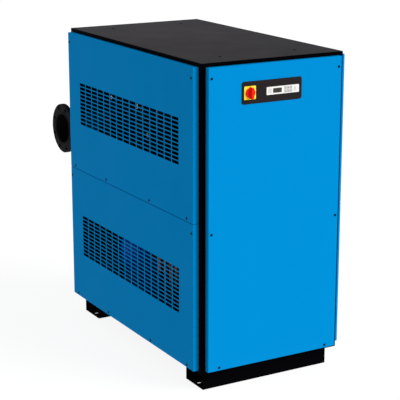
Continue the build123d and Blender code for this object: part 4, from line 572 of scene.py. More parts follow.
class Workshop:
    """Keeps each finish's material, so that every piece with that finish shares it."""

    def __init__(self) -> None:
        """Starts with no materials made."""
        self._made: dict[str, bpy.types.Material] = {}

    def material(self, finish: Finish) -> bpy.types.Material:
        """Hands out a finish's material, made the first time that it is asked for.

        Args:
            finish: The finish.

        Returns:
            Its material.
        """
        if finish.name not in self._made:
            self._made[finish.name] = finish.build()
        return self._made[finish.name]

    def dress_frame(self) -> None:
        """Gives each carried-over CAD node the finish of its material slot, or its own finish."""
        for name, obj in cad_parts.items():
            for holder in obj.material_slots:
                slot_name = holder.material.name.split(".")[0]
                finish = NODE_FINISHES.get(name, SLOT_FINISHES[slot_name])
                holder.material = self.material(finish)
            LOG.info("dressed %s", name)


WORKSHOP = Workshop()


# ---------------------------------------------------------------- shapes
def facing(origin: Point, right: Point, out: Point) -> Matrix:
    """Places a flat drawing on the object.

    Args:
        origin: Where the drawing's middle goes.
        right: Direction of the drawing's x axis.
        out: Direction in which the drawing looks.

    Returns:
        Matrix from the drawing, with x to the right, y up and z outwards, to the model's frame.
    """
    x, z = Vector(right).normalized(), Vector(out).normalized()
    y = z.cross(x)
    turn = Matrix((x, y, z)).transposed().to_4x4()
    return Matrix.Translation(Vector(origin)) @ turn


def rounded(width: float, height: float, corner: float, steps: int = 5) -> Outline:
    """Outlines a rectangle with rounded corners, centred on its origin.

    Args:
        width: Its size along x.
        height: Its size along y.
        corner: Radius of its corners.
        steps: Straight pieces to a corner.

    Returns:
        The outline's corners in order.
    """
    points = []
    for quarter, (sx, sy) in enumerate(((1, 1), (-1, 1), (-1, -1), (1, -1))):
        cx, cy = sx * (width / 2 - corner), sy * (height / 2 - corner)
        for step in range(steps + 1):
            angle = pi / 2 * (quarter + step / steps)
            points.append((cx + corner * cos(angle), cy + corner * sin(angle)))
    return points


def shifted(outline: Outline, right: float, up: float) -> Outline:
    """Moves an outline sideways and upwards in its own plane."""
    return [(x + right, y + up) for x, y in outline]


def spun(outline: Outline, angle: float) -> Outline:
    """Turns an outline about its origin by an angle in radians."""
    return [(x * cos(angle) - y * sin(angle), x * sin(angle) + y * cos(angle)) for x, y in outline]


class Shape:
    """A mesh in the making, from blocks, flat plates and turned profiles."""

    def __init__(self) -> None:
        """Starts empty."""
        self.mesh = bmesh.new()

    def block(self, low: Point, high: Point) -> None:
        """Adds a box.

        Args:
            low: Its lowest corner.
            high: Its highest corner.
        """
        size = Vector(high) - Vector(low)
        middle = (Vector(high) + Vector(low)) / 2
        place = Matrix.Translation(middle) @ Matrix.Diagonal((*size, 1.0))
        bmesh.ops.create_cube(self.mesh, size=1.0, matrix=place)

    def plate(self, outline: Outline, place: Matrix, thickness: float) -> None:
        """Adds a flat plate.

        Args:
            outline: Its corners in order, in the drawing's plane.
            place: Where the drawing goes.
            thickness: How far the plate rises out of the drawing.
        """
        back = [self.mesh.verts.new(place @ Vector((x, y, 0.0))) for x, y in outline]
        front = [self.mesh.verts.new(place @ Vector((x, y, thickness))) for x, y in outline]
        self.mesh.faces.new(back[::-1])
        self.mesh.faces.new(front)
        for index in range(len(outline)):
            after = (index + 1) % len(outline)
            self.mesh.faces.new((back[index], back[after], front[after], front[index]))

    def pierced(self, across: list[float], up: list[float], holes: set[tuple[int, int]],
                place: Matrix, thickness: float) -> None:
        """Adds a flat plate with rectangular windows, laid out on a grid.

        Args:
            across: Grid lines along the drawing's x axis.
            up: Grid lines along its y axis.
            holes: Cells, by column and row, that are windows.
            place: Where the drawing goes.
            thickness: How far the plate rises out of the drawing.
        """
        corners = []
        for x in across:
            pairs = [[place @ Vector((x, y, z)) for z in (0.0, thickness)] for y in up]
            corners.append([[self.mesh.verts.new(corner) for corner in pair] for pair in pairs])
        solid = {(i, k) for i in range(len(across) - 1) for k in range(len(up) - 1)} - holes
        for i, k in solid:
            loop = (corners[i][k], corners[i + 1][k], corners[i + 1][k + 1], corners[i][k + 1])
            self.mesh.faces.new([corner[1] for corner in loop])
            self.mesh.faces.new([corner[0] for corner in reversed(loop)])
            beside = ((i, k - 1), (i + 1, k), (i, k + 1), (i - 1, k))
            for side, neighbour in enumerate(beside):
                if neighbour not in solid:
                    start, end = loop[side], loop[(side + 1) % len(loop)]
                    self.mesh.faces.new((start[0], end[0], end[1], start[1]))

    def turned(self, profile: Outline, place: Matrix, steps: int = 48, ripple: float = 0.0) -> None:
        """Adds a turned solid.

        Args:
            profile: Radius and height of each corner. It closes on itself unless it starts on the axis.
            place: Where its axis, the drawing's z, goes.
            steps: Facets round the axis.
            ripple: How much the radius varies from facet to facet, as on a weld bead.
        """
        waver = random.Random(len(self.mesh.verts) + steps)
        # Half of a ripple is a steady sway, about three facets long, and half is chance.
        swing = [ripple * (0.5 * sin(step * 1.9) + waver.uniform(-0.5, 0.5)) for step in range(steps)]
        rings = []
        for radius, height in profile:
            if radius == 0.0:
                rings.append([self.mesh.verts.new(place @ Vector((0.0, 0.0, height)))] * steps)
                continue
            ring = []
            for step in range(steps):
                angle = 2 * pi * step / steps
                reach = radius + swing[step]
                corner = Vector((reach * cos(angle), reach * sin(angle), height))
                ring.append(self.mesh.verts.new(place @ corner))
            rings.append(ring)
        pairs = list(zip(rings, rings[1:]))
        if profile[0][0] > 0.0:
            pairs.append((rings[-1], rings[0]))
        for near, far in pairs:
            for step in range(steps):
                after = (step + 1) % steps
                corners = list(dict.fromkeys((near[step], near[after], far[after], far[step])))
                self.mesh.faces.new(corners)

    def piece(self, name: str, finish: Finish, body: str = "cabinet", bevel: float = 0.0) -> bpy.types.Object:
        """Turns the mesh into a piece that rides on a body.

        Args:
            name: The piece's name.
            finish: Its finish.
            body: Body that it rides on.
            bevel: Size of the soft edge that its corners get, or zero.

        Returns:
            The new object.
        """
        bmesh.ops.recalc_face_normals(self.mesh, faces=self.mesh.faces)
        data = bpy.data.meshes.new(name)
        self.mesh.to_mesh(data)
        self.mesh.free()
        obj = bpy.data.objects.new(name, data)
        bpy.context.scene.collection.objects.link(obj)
        data.materials.append(WORKSHOP.material(finish))
        for face in data.polygons:
            face.use_smooth = True
        if bevel:
            soft = obj.modifiers.new("soft_edges", "BEVEL")
            soft.width = bevel
            soft.segments = SOFT_EDGE_STEPS
            soft.limit_method = "ANGLE"
            soft.harden_normals = True
        else:
            data.set_sharp_from_angle(angle=SHARP_ANGLE)
        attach(obj, body)
        LOG.info("made %s", name)
        return obj


# ---------------------------------------------------------------- controls on the front
class Symbol(Enum):
    """What the controller's keys show, in reading order."""

    ON_OFF = 1
    UP = 2
    MENU = 3
    DEFROST = 4
    DOWN = 5
    ENTER = 6


# Symbols that are one flat outline, drawn in units of half the symbol's size.
SYMBOL_OUTLINES: dict[Symbol, Outline] = {
    Symbol.UP: [(-1.0, -0.7), (1.0, -0.7), (0.0, 0.9)],
    Symbol.DOWN: [(-1.0, 0.7), (0.0, -0.9), (1.0, 0.7)],
    Symbol.ENTER: [(-1.0, 0.0), (-0.3, -0.8), (1.0, 0.75), (0.65, 1.0), (-0.3, -0.2), (-0.7, 0.3)],
}


@dataclass
class ControlFace:
    """Printing and inlays on the control plate. Lengths are in metres."""

    print_thickness: float = 0.00012
    # Crossing strokes differ a hair in height, so that their faces never coincide.
    stroke_step: float = 0.2
    digit_height: float = 0.0125
    digit_width: float = 0.0068
    digit_pitch: float = 0.0115
    digit_stroke: float = 0.0016
    digit_drop: float = 0.0012
    icons: int = 5
    icon_size: tuple[float, float] = (0.0032, 0.0014)
    icon_corner: float = 0.0005
    icon_pitch: float = 0.0085
    icon_rise: float = 0.0090
    symbol_size: float = 0.0062
    # Measures of the symbols' strokes and gaps, in units of half the symbol's size.
    symbol_stroke: float = 0.30
    menu_pitch: float = 0.62
    frost_bars: int = 3
    frost_stroke: float = 0.8
    power_bar: float = 1.1
    power_rise: float = 0.5
    power_ring: tuple[float, float] = (0.65, 0.95)
    label_inset: float = 0.0006
    label_thickness: float = 0.00035
    label_lift: float = 0.00005
    label_corner: float = 0.0015
    # For each label, its middle in x and its width.
    label_places: tuple[tuple[float, float], ...] = ((-0.045, 0.021), (0.099, 0.018))
    label_height: float = 0.024
    label_rows: int = 3
    row_pitch: float = 0.0068
    # Each row's bar and lamp are placed and sized by shares of the film's width.
    mark_share: float = 0.42
    mark_shift: float = 0.12
    mark_height: float = 0.0011
    mark_corner: float = 0.0004
    lamp_shift: float = -0.3
    lamp_size: float = 0.0022
    lamp_corner: float = 0.001
    key_gap: float = 0.0003
    key_field_rim: float = 0.0018
    nought_radii: tuple[float, float] = (0.0011, 0.0018)
    nought_squash: float = 0.8
    on_stroke: tuple[float, float] = (0.0007, 0.0036)
    on_stroke_corner: float = 0.0002

    def build(self) -> None:
        """Builds the display, the key symbols, the label films and the switch's marks."""
        self.build_display()
        self.build_labels()
        self.build_key_field()
        for symbol in Symbol:
            self.build_symbol(symbol)
        self.build_switch_marks()

    def front(self, node: str) -> Matrix:
        """Places a drawing on the front face of a node, at its middle.

        Args:
            node: The CAD node.

        Returns:
            The drawing's place.
        """
        low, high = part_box(node)
        return facing(((low[0] + high[0]) / 2, low[1], (low[2] + high[2]) / 2), (1, 0, 0), (0, -1, 0))

    def ring(self, inner: float, outer: float) -> Outline:
        """Profile of a flat printed ring between two radii."""
        rise = self.print_thickness
        return [(outer, 0.0), (outer, rise), (inner, rise), (inner, 0.0)]

    def build_display(self) -> None:
        """Draws a plain reading in seven-segment figures, with a row of unlit icons above it."""
        place = self.front("controller_window")
        lit = Shape()
        half_w, half_h = self.digit_width / 2, self.digit_height / 2
        spans = {
            "top": (0.0, half_h, True), "middle": (0.0, 0.0, True), "bottom": (0.0, -half_h, True),
            "upper_left": (-half_w, half_h / 2, False), "upper_right": (half_w, half_h / 2, False),
            "lower_left": (-half_w, -half_h / 2, False), "lower_right": (half_w, -half_h / 2, False)}
        figures = (
            ("top", "upper_left", "upper_right", "middle", "lower_right", "bottom"),
            ("top", "upper_right", "middle", "lower_right", "bottom"),
            ("top", "upper_left", "middle", "lower_left", "lower_right", "bottom"))
        for index, figure in enumerate(figures):
            start = (index - 1) * self.digit_pitch
            for name in figure:
                x, y, level = spans[name]
                length = (self.digit_width if level else half_h) - self.digit_stroke
                bar = self.segment(start + x, y - self.digit_drop, length, level)
                lit.plate(bar, place, self.print_thickness)
        dot = rounded(self.digit_stroke, self.digit_stroke, self.digit_stroke / 3, 2)
        dot = shifted(dot, 0.5 * self.digit_pitch, -half_h - self.digit_drop)
        lit.plate(dot, place, self.print_thickness)
        icon = rounded(*self.icon_size, self.icon_corner, 2)
        for index in range(self.icons):
            across = (index - (self.icons - 1) / 2) * self.icon_pitch
            lit.plate(shifted(icon, across, self.icon_rise), place, self.print_thickness)
        lit.piece("display_figures", DISPLAY_FIGURES)

    def segment(self, x: float, y: float, length: float, level: bool) -> Outline:
        """Outline of one bar of a figure, a long hexagon.

        Args:
            x: Its middle, across.
            y: Its middle, upwards.
            length: Its length.
            level: True if it lies level, False if it stands.

        Returns:
            The outline's corners.
        """
        half, stroke = length / 2, self.digit_stroke / 2
        bar = [(-half, 0.0), (-half + stroke, -stroke), (half - stroke, -stroke),
               (half, 0.0), (half - stroke, stroke), (-half + stroke, stroke)]
        return shifted(bar, x, y) if level else [(x - v, y + u) for u, v in bar]

    def build_labels(self) -> None:
        """Lays a blank grey film in each label pocket, with rows of plain marks and lamps."""
        low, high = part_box("controller_housing")
        middle = (low[2] + high[2]) / 2
        films = Shape()
        lines = Shape()
        for x, width in self.label_places:
            depth = low[1] + self.label_thickness + self.label_lift
            place = facing((x, depth, middle), (1, 0, 0), (0, -1, 0))
            across, up = width - 2 * self.label_inset, self.label_height - 2 * self.label_inset
            films.plate(rounded(across, up, self.label_corner), place, self.label_thickness)
            mark = rounded(across * self.mark_share, self.mark_height, self.mark_corner, 2)
            lamp = rounded(self.lamp_size, self.lamp_size, self.lamp_corner, 4)
            for row in range(self.label_rows):
                height = middle + (row - (self.label_rows - 1) / 2) * self.row_pitch
                top = facing((x, low[1] + self.label_lift, height), (1, 0, 0), (0, -1, 0))
                lines.plate(shifted(mark, across * self.mark_shift, 0.0), top, self.print_thickness)
                lines.plate(shifted(lamp, across * self.lamp_shift, 0.0), top, self.print_thickness)
        films.piece("label_films", LABEL_FILM)
        lines.piece("label_marks", GREY_PRINT)

    def build_key_field(self) -> None:
        """Lays a grey film round the keys, with a window for each of them."""
        boxes = [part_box(f"controller_key_{symbol.value}") for symbol in Symbol]
        gap, rim = self.key_gap, self.key_field_rim
        spans = []
        for axis in (ACROSS, UP):
            # Edges that agree to a hundredth of a millimetre belong to one row or column of keys.
            edges = sorted({(round(low[axis], 5) - gap, round(high[axis], 5) + gap) for low, high in boxes})
            stops = [edge for pair in edges for edge in pair]
            spans.append([stops[0] - rim, *stops, stops[-1] + rim])
        across, up = spans
        holes = {(i, k) for i in range(1, len(across) - 1, 2) for k in range(1, len(up) - 1, 2)}
        face_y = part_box("controller_housing")[0][1]
        film = Shape()
        place = facing((0.0, face_y, 0.0), (1, 0, 0), (0, -1, 0))
        film.pierced(across, up, holes, place, self.print_thickness)
        film.piece("key_field_film", KEY_FIELD_FILM)

    def build_symbol(self, symbol: Symbol) -> None:
        """Prints one generic symbol on its key, which carries it along when it is pressed.

        Args:
            symbol: What the key shows.
        """
        shape = Shape()
        place = self.front(f"controller_key_{symbol.value}")
        size = self.symbol_size / 2
        stroke = size * self.symbol_stroke
        if symbol is Symbol.MENU:
            bar = rounded(2 * size, stroke, stroke / 3, 2)
            outlines = [shifted(bar, 0.0, row * size * self.menu_pitch) for row in (-1, 0, 1)]
        elif symbol is Symbol.DEFROST:
            bar = rounded(2 * size, stroke * self.frost_stroke, stroke / 3, 2)
            outlines = [spun(bar, pi * turn / self.frost_bars) for turn in range(self.frost_bars)]
        elif symbol is Symbol.ON_OFF:
            bar = rounded(stroke, size * self.power_bar, stroke / 3, 2)
            outlines = [shifted(bar, 0.0, size * self.power_rise)]
            inner, outer = self.power_ring
            shape.turned(self.ring(size * inner, size * outer), place, 28)
        else:
            outlines = [[(size * u, size * v) for u, v in SYMBOL_OUTLINES[symbol]]]
        for level, outline in enumerate(outlines):
            shape.plate(outline, place, self.print_thickness * (1 + self.stroke_step * level))
        shape.piece(f"key_symbol_{symbol.value}", DARK_GREY_PRINT, f"key_{symbol.value}")

    def build_switch_marks(self) -> None:
        """Prints a nought above the knob and a stroke beside it."""
        place = self.front("switch_plate")
        low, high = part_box("switch_plate")
        knob_low, knob_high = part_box("switch_knob")
        margin = ((high[2] - low[2]) + (knob_high[2] - knob_low[2])) / 4
        marks = Shape()
        above = place @ Matrix.Translation((0.0, margin, 0.0))
        squash = Matrix.Diagonal((self.nought_squash, 1.0, 1.0, 1.0))
        marks.turned(self.ring(*self.nought_radii), above @ squash, 24)
        stroke = rounded(*self.on_stroke, self.on_stroke_corner, 2)
        marks.plate(shifted(stroke, margin, 0.0), place, self.print_thickness)
        marks.piece("switch_marks", BLACK_PRINT)


# ---------------------------------------------------------------- inside of the cabinet
@dataclass
class FoamLining:
    """Black acoustic foam glued inside the panels, cut away round the grilles. Lengths are in metres."""

    thickness: float = 0.018
    glue: float = 0.0003
    sheet: float = 0.0015
    side_edge: float = 0.045
    grille_half: float = 0.572
    grille_margin: float = 0.012
    # Lowest and highest point of each kind of grille.
    upper_grille: tuple[float, float] = (1.136, 1.370)
    lower_grille: tuple[float, float] = (0.379, 0.613)
    exhaust_grille: tuple[float, float] = (0.249, 0.743)
    pipe_room: float = 0.02
    gland_room: float = 0.03
    soft_edge: float = 0.002

    def build(self) -> None:
        """Lines both sides and the rear."""
        for side in ("left", "right"):
            self.line_side(side, "upper", self.upper_grille)
        self.line_side("left", "lower", self.lower_grille)
        self.line_side("right", "lower", self.exhaust_grille)
        self.line_rear()

    def line_side(self, side: str, level: str, grille: tuple[float, float]) -> None:
        """Lines one side panel with four slabs round its grille.

        Args:
            side: "left" or "right".
            level: "upper" or "lower".
            grille: Lowest and highest point of its slots.
        """
        low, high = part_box(f"{side}_{level}_panel")
        skin = self.sheet + self.glue
        if side == "left":
            x = (low[0] + skin, low[0] + skin + self.thickness)
        else:
            x = (high[0] - skin - self.thickness, high[0] - skin)
        near, far = low[1] + self.side_edge, high[1] - self.side_edge
        bottom, top = low[2] + self.side_edge, high[2] - self.side_edge
        hole = self.grille_half + self.grille_margin
        under, over = grille[0] - self.grille_margin, grille[1] + self.grille_margin
        foam = Shape()
        foam.block((x[0], near, over), (x[1], far, top))
        foam.block((x[0], near, bottom), (x[1], far, under))
        foam.block((x[0], near, under), (x[1], -hole, over))
        foam.block((x[0], hole, under), (x[1], far, over))
        foam.piece(f"foam_{side}_{level}", ACOUSTIC_FOAM, bevel=self.soft_edge)

    def line_rear(self) -> None:
        """Lines the rear panels above and below the pipes, clear of the gland and the drain."""
        foam = Shape()
        skin = self.sheet + self.glue
        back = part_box("rear_upper_panel")[1][1]
        y = (back - skin - self.thickness, back - skin)
        starts = {
            "rear_upper_panel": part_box("pipe_collars")[1][2] + self.pipe_room,
            "rear_lower_panel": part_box("cable_gland")[1][2] + self.gland_room}
        for panel, start in starts.items():
            low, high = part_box(panel)
            x = (low[0] + self.side_edge, high[0] - self.side_edge)
            foam.block((x[0], y[0], start), (x[1], y[1], high[2] - self.side_edge))
        foam.piece("foam_rear", ACOUSTIC_FOAM, bevel=self.soft_edge)


@dataclass
class CondenserFins:
    """Thin aluminium fins on both faces of the condenser's core. Lengths are in metres."""

    pitch: float = 0.004
    thickness: float = 0.0006
    core_faces: tuple[float, float] = (0.245, 0.295)
    core_half: float = 0.530
    core_heights: tuple[float, float] = (0.202, 0.758)
    end_room: float = 0.006
    root: float = 0.0003
    proud: float = 0.0042

    def build(self) -> None:
        """Builds the fins of both faces as one piece, twice as far apart as real ones, so that they show."""
        bottom, top = self.core_heights
        reach = 2 * (self.core_half - self.end_room)
        fins = Shape()
        for index in range(int(reach / self.pitch) + 1):
            y = index * self.pitch - reach / 2
            for face, out in zip(self.core_faces, (-1, 1)):
                edges = sorted((face - out * self.root, face + out * self.proud))
                fins.block((edges[0], y, bottom), (edges[1], y + self.thickness, top))
        fins.piece("condenser_fins", FIN_ALUMINIUM)


@dataclass
class FanTrim:
    """Nose cap and ribs on the hub of each condenser fan. Lengths are in metres."""

    cap_profile: tuple[tuple[float, float], ...] = (
        (0.0, 0.0), (0.018, 0.0), (0.018, 0.0018), (0.014, 0.0032), (0.0, 0.0036))
    seat: float = 0.0001
    sunk: float = 0.001
    ribs: int = 10
    rib_span: tuple[float, float] = (0.019, 0.053)
    rib_width: float = 0.003
    rib_rise: float = 0.003
    soft_edge: float = 0.0004

    def build(self) -> None:
        """Trims both fans; each trim turns with its own fan."""
        for name in ("front", "rear"):
            low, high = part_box(f"condenser_fan_{name}")
            middle = ((low[1] + high[1]) / 2, (low[2] + high[2]) / 2)
            nose = facing((low[0] + self.seat, middle[0], middle[1]), (0, 1, 0), (-1, 0, 0))
            sink = Matrix.Translation((0.0, 0.0, -self.sunk))
            trim = Shape()
            trim.turned(list(self.cap_profile), nose @ sink, 32)
            start, end = self.rib_span
            half = self.rib_width / 2
            for index in range(self.ribs):
                turn = Matrix.Rotation(2 * pi * index / self.ribs, 4, "Z")
                bar = [(start, -half), (end, -half), (end, half), (start, half)]
                trim.plate(bar, nose @ turn @ sink, self.rib_rise - self.sunk)
            trim.piece(f"{name}_fan_trim", BLACK_ABS, f"{name}_fan", bevel=self.soft_edge)


@dataclass
class ExchangerWrap:
    """Tape bands, tagged probes and coloured caps on the insulated heat exchanger. Lengths are in metres."""

    strap_width: float = 0.025
    strap_thickness: float = 0.0012
    strap_corner: float = 0.016
    strap_gap: float = 0.0001
    strap_places: tuple[float, ...] = (0.04, 0.22, 0.40)
    tag_thickness: float = 0.0012
    tag_corner: float = 0.002
    # For each tag, how far out it stands, its place in y and z, its width and its height.
    tag_places: tuple[tuple[float, float, float, float, float], ...] = (
        (0.037, 0.506, 1.281, 0.020, 0.020), (0.037, 0.194, 1.284, 0.011, 0.028))
    stem_radius: float = 0.003
    seat_gap: float = 0.0002
    end_gap: float = 0.0001
    # A cap's outline in shares of its radius and its length.
    cap_outline: tuple[tuple[float, float], ...] = (
        (0.0, 0.0), (0.7, 0.0), (0.7, 0.35), (1.0, 0.45), (1.0, 0.9), (0.8, 1.0), (0.0, 1.0))
    # For each cap, how far out it reaches, its place in y and z, and its radius.
    cap_places: tuple[tuple[float, float, float, float], ...] = (
        (0.014, 0.068, 1.107, 0.008), (0.014, 0.068, 1.078, 0.008))
    lever_place: tuple[float, float, float] = (0.046, 0.534, 1.153)
    lever_size: tuple[float, float] = (0.034, 0.008)
    plug_place: tuple[float, float, float] = (0.040, 0.064, 1.150)
    plug_radius: float = 0.013
    plug_rise: float = 0.006

    def build(self) -> None:
        """Builds the bands, the tags, the caps, the small red lever and the green plug."""
        low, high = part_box("heat_exchanger")
        self.build_straps(low, high)
        tags, caps, stems = Shape(), Shape(), Shape()
        for reach, y, z, width, height in self.tag_places:
            place = self.on_left_side(low[0], y, z)
            self.stem(stems, place, reach)
            outline = rounded(width, height, self.tag_corner)
            tags.plate(outline, place @ Matrix.Translation((0.0, 0.0, reach)), self.tag_thickness)
        tags.piece("blank_tags", TAG_PLASTIC)
        for reach, y, z, radius in self.cap_places:
            self.cap(caps, self.on_left_side(low[0], y, z), reach, radius)
        reach, y, z = self.lever_place
        place = self.on_left_side(low[0], y, z)
        self.stem(stems, place, reach)
        outline = rounded(*self.lever_size, self.tag_corner)
        caps.plate(outline, place @ Matrix.Translation((0.0, 0.0, reach)), self.tag_thickness)
        caps.piece("red_caps", RED_PLASTIC)
        reach, y, z = self.plug_place
        place = self.on_left_side(low[0], y, z)
        self.cap(stems, place, reach, self.plug_radius)
        stems.piece("probe_stems", BLACK_POLYAMIDE)
        plug = Shape()
        self.cap(plug, place @ Matrix.Translation((0.0, 0.0, reach)), self.plug_rise, self.plug_radius)
        plug.piece("transmitter_plug", PLUG_PLASTIC)

    def on_left_side(self, x: float, y: float, z: float) -> Matrix:
        """Places a drawing on the exchanger's left side, looking out to the left."""
        return facing((x - self.seat_gap, y, z), (0, -1, 0), (-1, 0, 0))

    def stem(self, shape: Shape, place: Matrix, reach: float) -> None:
        """Adds a thin round stem that stops a hair short of what it carries.

        Args:
            shape: Mesh that takes it.
            place: Where its foot goes.
            reach: How far out it carries its tag or cap.
        """
        end = reach - self.end_gap
        profile = [(0.0, 0.0), (self.stem_radius, 0.0), (self.stem_radius, end), (0.0, end)]
        shape.turned(profile, place, 16)

    def cap(self, shape: Shape, place: Matrix, reach: float, radius: float) -> None:
        """Adds a round cap with a soft rim and a waist, standing on a drawing.

        Args:
            shape: Mesh that takes it.
            place: Where its foot goes.
            reach: Its length.
            radius: Its largest radius.
        """
        shape.turned([(radius * out, reach * up) for out, up in self.cap_outline], place, 24)

    def build_straps(self, low: Vector, high: Vector) -> None:
        """Winds the tape bands round the exchanger.

        Args:
            low: The exchanger's lowest corner.
            high: Its highest corner.
        """
        straps = Shape()
        width, height = high[0] - low[0], high[2] - low[2]
        outer_step, inner_step = 2 * self.strap_thickness, 2 * self.strap_gap
        for y in self.strap_places:
            outer = rounded(width + outer_step, height + outer_step, self.strap_corner, 6)
            inner_corner = self.strap_corner - self.strap_thickness
            inner = rounded(width + inner_step, height + inner_step, inner_corner, 6)
            place = facing(((low[0] + high[0]) / 2, y, (low[2] + high[2]) / 2), (1, 0, 0), (0, -1, 0))
            self.band(straps, outer, inner, place)
        straps.piece("exchanger_straps", BLACK_TAPE)

    def band(self, shape: Shape, outer: Outline, inner: Outline, place: Matrix) -> None:
        """Adds one strap, a flat ring between two outlines with as many corners.

        Args:
            shape: Mesh that takes it.
            outer: Outline of its outside.
            inner: Outline of its inside.
            place: Where the outlines go.
        """
        half = self.strap_width / 2
        loops = []
        for outline, depth in ((outer, -half), (outer, half), (inner, half), (inner, -half)):
            loops.append([shape.mesh.verts.new(place @ Vector((x, y, depth))) for x, y in outline])
        for near, far in zip(loops, loops[1:] + loops[:1]):
            for index in range(len(near)):
                after = (index + 1) % len(near)
                shape.mesh.faces.new((near[index], near[after], far[after], far[index]))


@dataclass(frozen=True)
class Vessel:
    """One upright vessel, with the heights of its weld seams and its blank plate, in metres."""

    name: str
    axis: tuple[float, float]
    radius: float
    seams: tuple[float, float]
    plate_height: float
    paint: Finish


@dataclass
class VesselTrim:
    """Weld beads, blank plates and the heater belt on the pressure vessels. Lengths are in metres."""

    compressor: Vessel = Vessel(
        "compressor", (-0.180, 0.330), 0.115, (0.205, 0.455), 0.330, BLUE_COMPRESSOR_PAINT)
    separator: Vessel = Vessel("separator", (0.128, 0.430), 0.100, (0.335, 0.765), 0.560, BLACK_PIPE_PAINT)
    receiver: Vessel = Vessel("receiver", (0.040, -0.420), 0.076, (0.185, 0.455), 0.330, BLACK_PIPE_PAINT)
    bead_rise: float = 0.0014
    bead_shoulder: float = 0.7
    bead_width: float = 0.007
    bead_root: float = 0.0006
    ripple: float = 0.0005
    plate_half_height: float = 0.020
    plate_half_width: float = 0.030
    plate_gap: float = 0.0002
    plate_thickness: float = 0.0008
    plate_steps: int = 8
    belt_height: float = 0.168
    belt_width: float = 0.022
    belt_rise: float = 0.0035
    belt_edge: float = 0.001

    def build(self) -> None:
        """Trims the compressor, the separator and the receiver."""
        for vessel in (self.compressor, self.separator, self.receiver):
            self.build_beads(vessel)
            self.build_plate(vessel)
        self.build_belt()

    def build_beads(self, vessel: Vessel) -> None:
        """Runs a rippled weld bead round each seam of a vessel.

        Args:
            vessel: The vessel.
        """
        beads = Shape()
        half = self.bead_width / 2
        root, crest = vessel.radius - self.bead_root, vessel.radius + self.bead_rise
        shoulder = vessel.radius + self.bead_rise * self.bead_shoulder
        profile = [(root, -half), (shoulder, -half / 2), (crest, 0.0), (shoulder, half / 2), (root, half)]
        for height in vessel.seams:
            beads.turned(profile, facing((*vessel.axis, height), (1, 0, 0), (0, 0, 1)), 120, self.ripple)
        beads.piece(f"{vessel.name}_weld_beads", vessel.paint)

    def build_plate(self, vessel: Vessel) -> None:
        """Lays a blank plate, curved like the shell, on a vessel's left side.

        Args:
            vessel: The vessel.
        """
        plate = Shape()
        spread = self.plate_half_width / vessel.radius
        near = vessel.radius + self.plate_gap
        far = near + self.plate_thickness
        low = vessel.plate_height - self.plate_half_height
        high = vessel.plate_height + self.plate_half_height
        loops = []
        for step in range(self.plate_steps + 1):
            angle = pi + spread * (step / self.plate_steps * 2 - 1)
            loop = []
            for radius, z in ((near, low), (far, low), (far, high), (near, high)):
                x = vessel.axis[0] + radius * cos(angle)
                y = vessel.axis[1] + radius * sin(angle)
                loop.append(plate.mesh.verts.new((x, y, z)))
            loops.append(loop)
        for before, after in zip(loops, loops[1:]):
            for index in range(4):
                following = (index + 1) % 4
                plate.mesh.faces.new((before[index], before[following], after[following], after[index]))
        plate.mesh.faces.new(loops[0])
        plate.mesh.faces.new(loops[-1][::-1])
        plate.piece(f"{vessel.name}_blank_plate", FIN_ALUMINIUM)

    def build_belt(self) -> None:
        """Wraps the crankcase heater, a flat rubber belt, round the compressor's foot."""
        belt = Shape()
        near = self.compressor.radius + self.plate_gap
        far = self.compressor.radius + self.belt_rise
        place = facing((*self.compressor.axis, self.belt_height), (1, 0, 0), (0, 0, 1))
        edge, top = self.belt_edge, self.belt_width
        belt.turned([(near, 0.0), (far, edge), (far, top - edge), (near, top)], place, 72)
        belt.piece("crankcase_heater", BLACK_RUBBER)


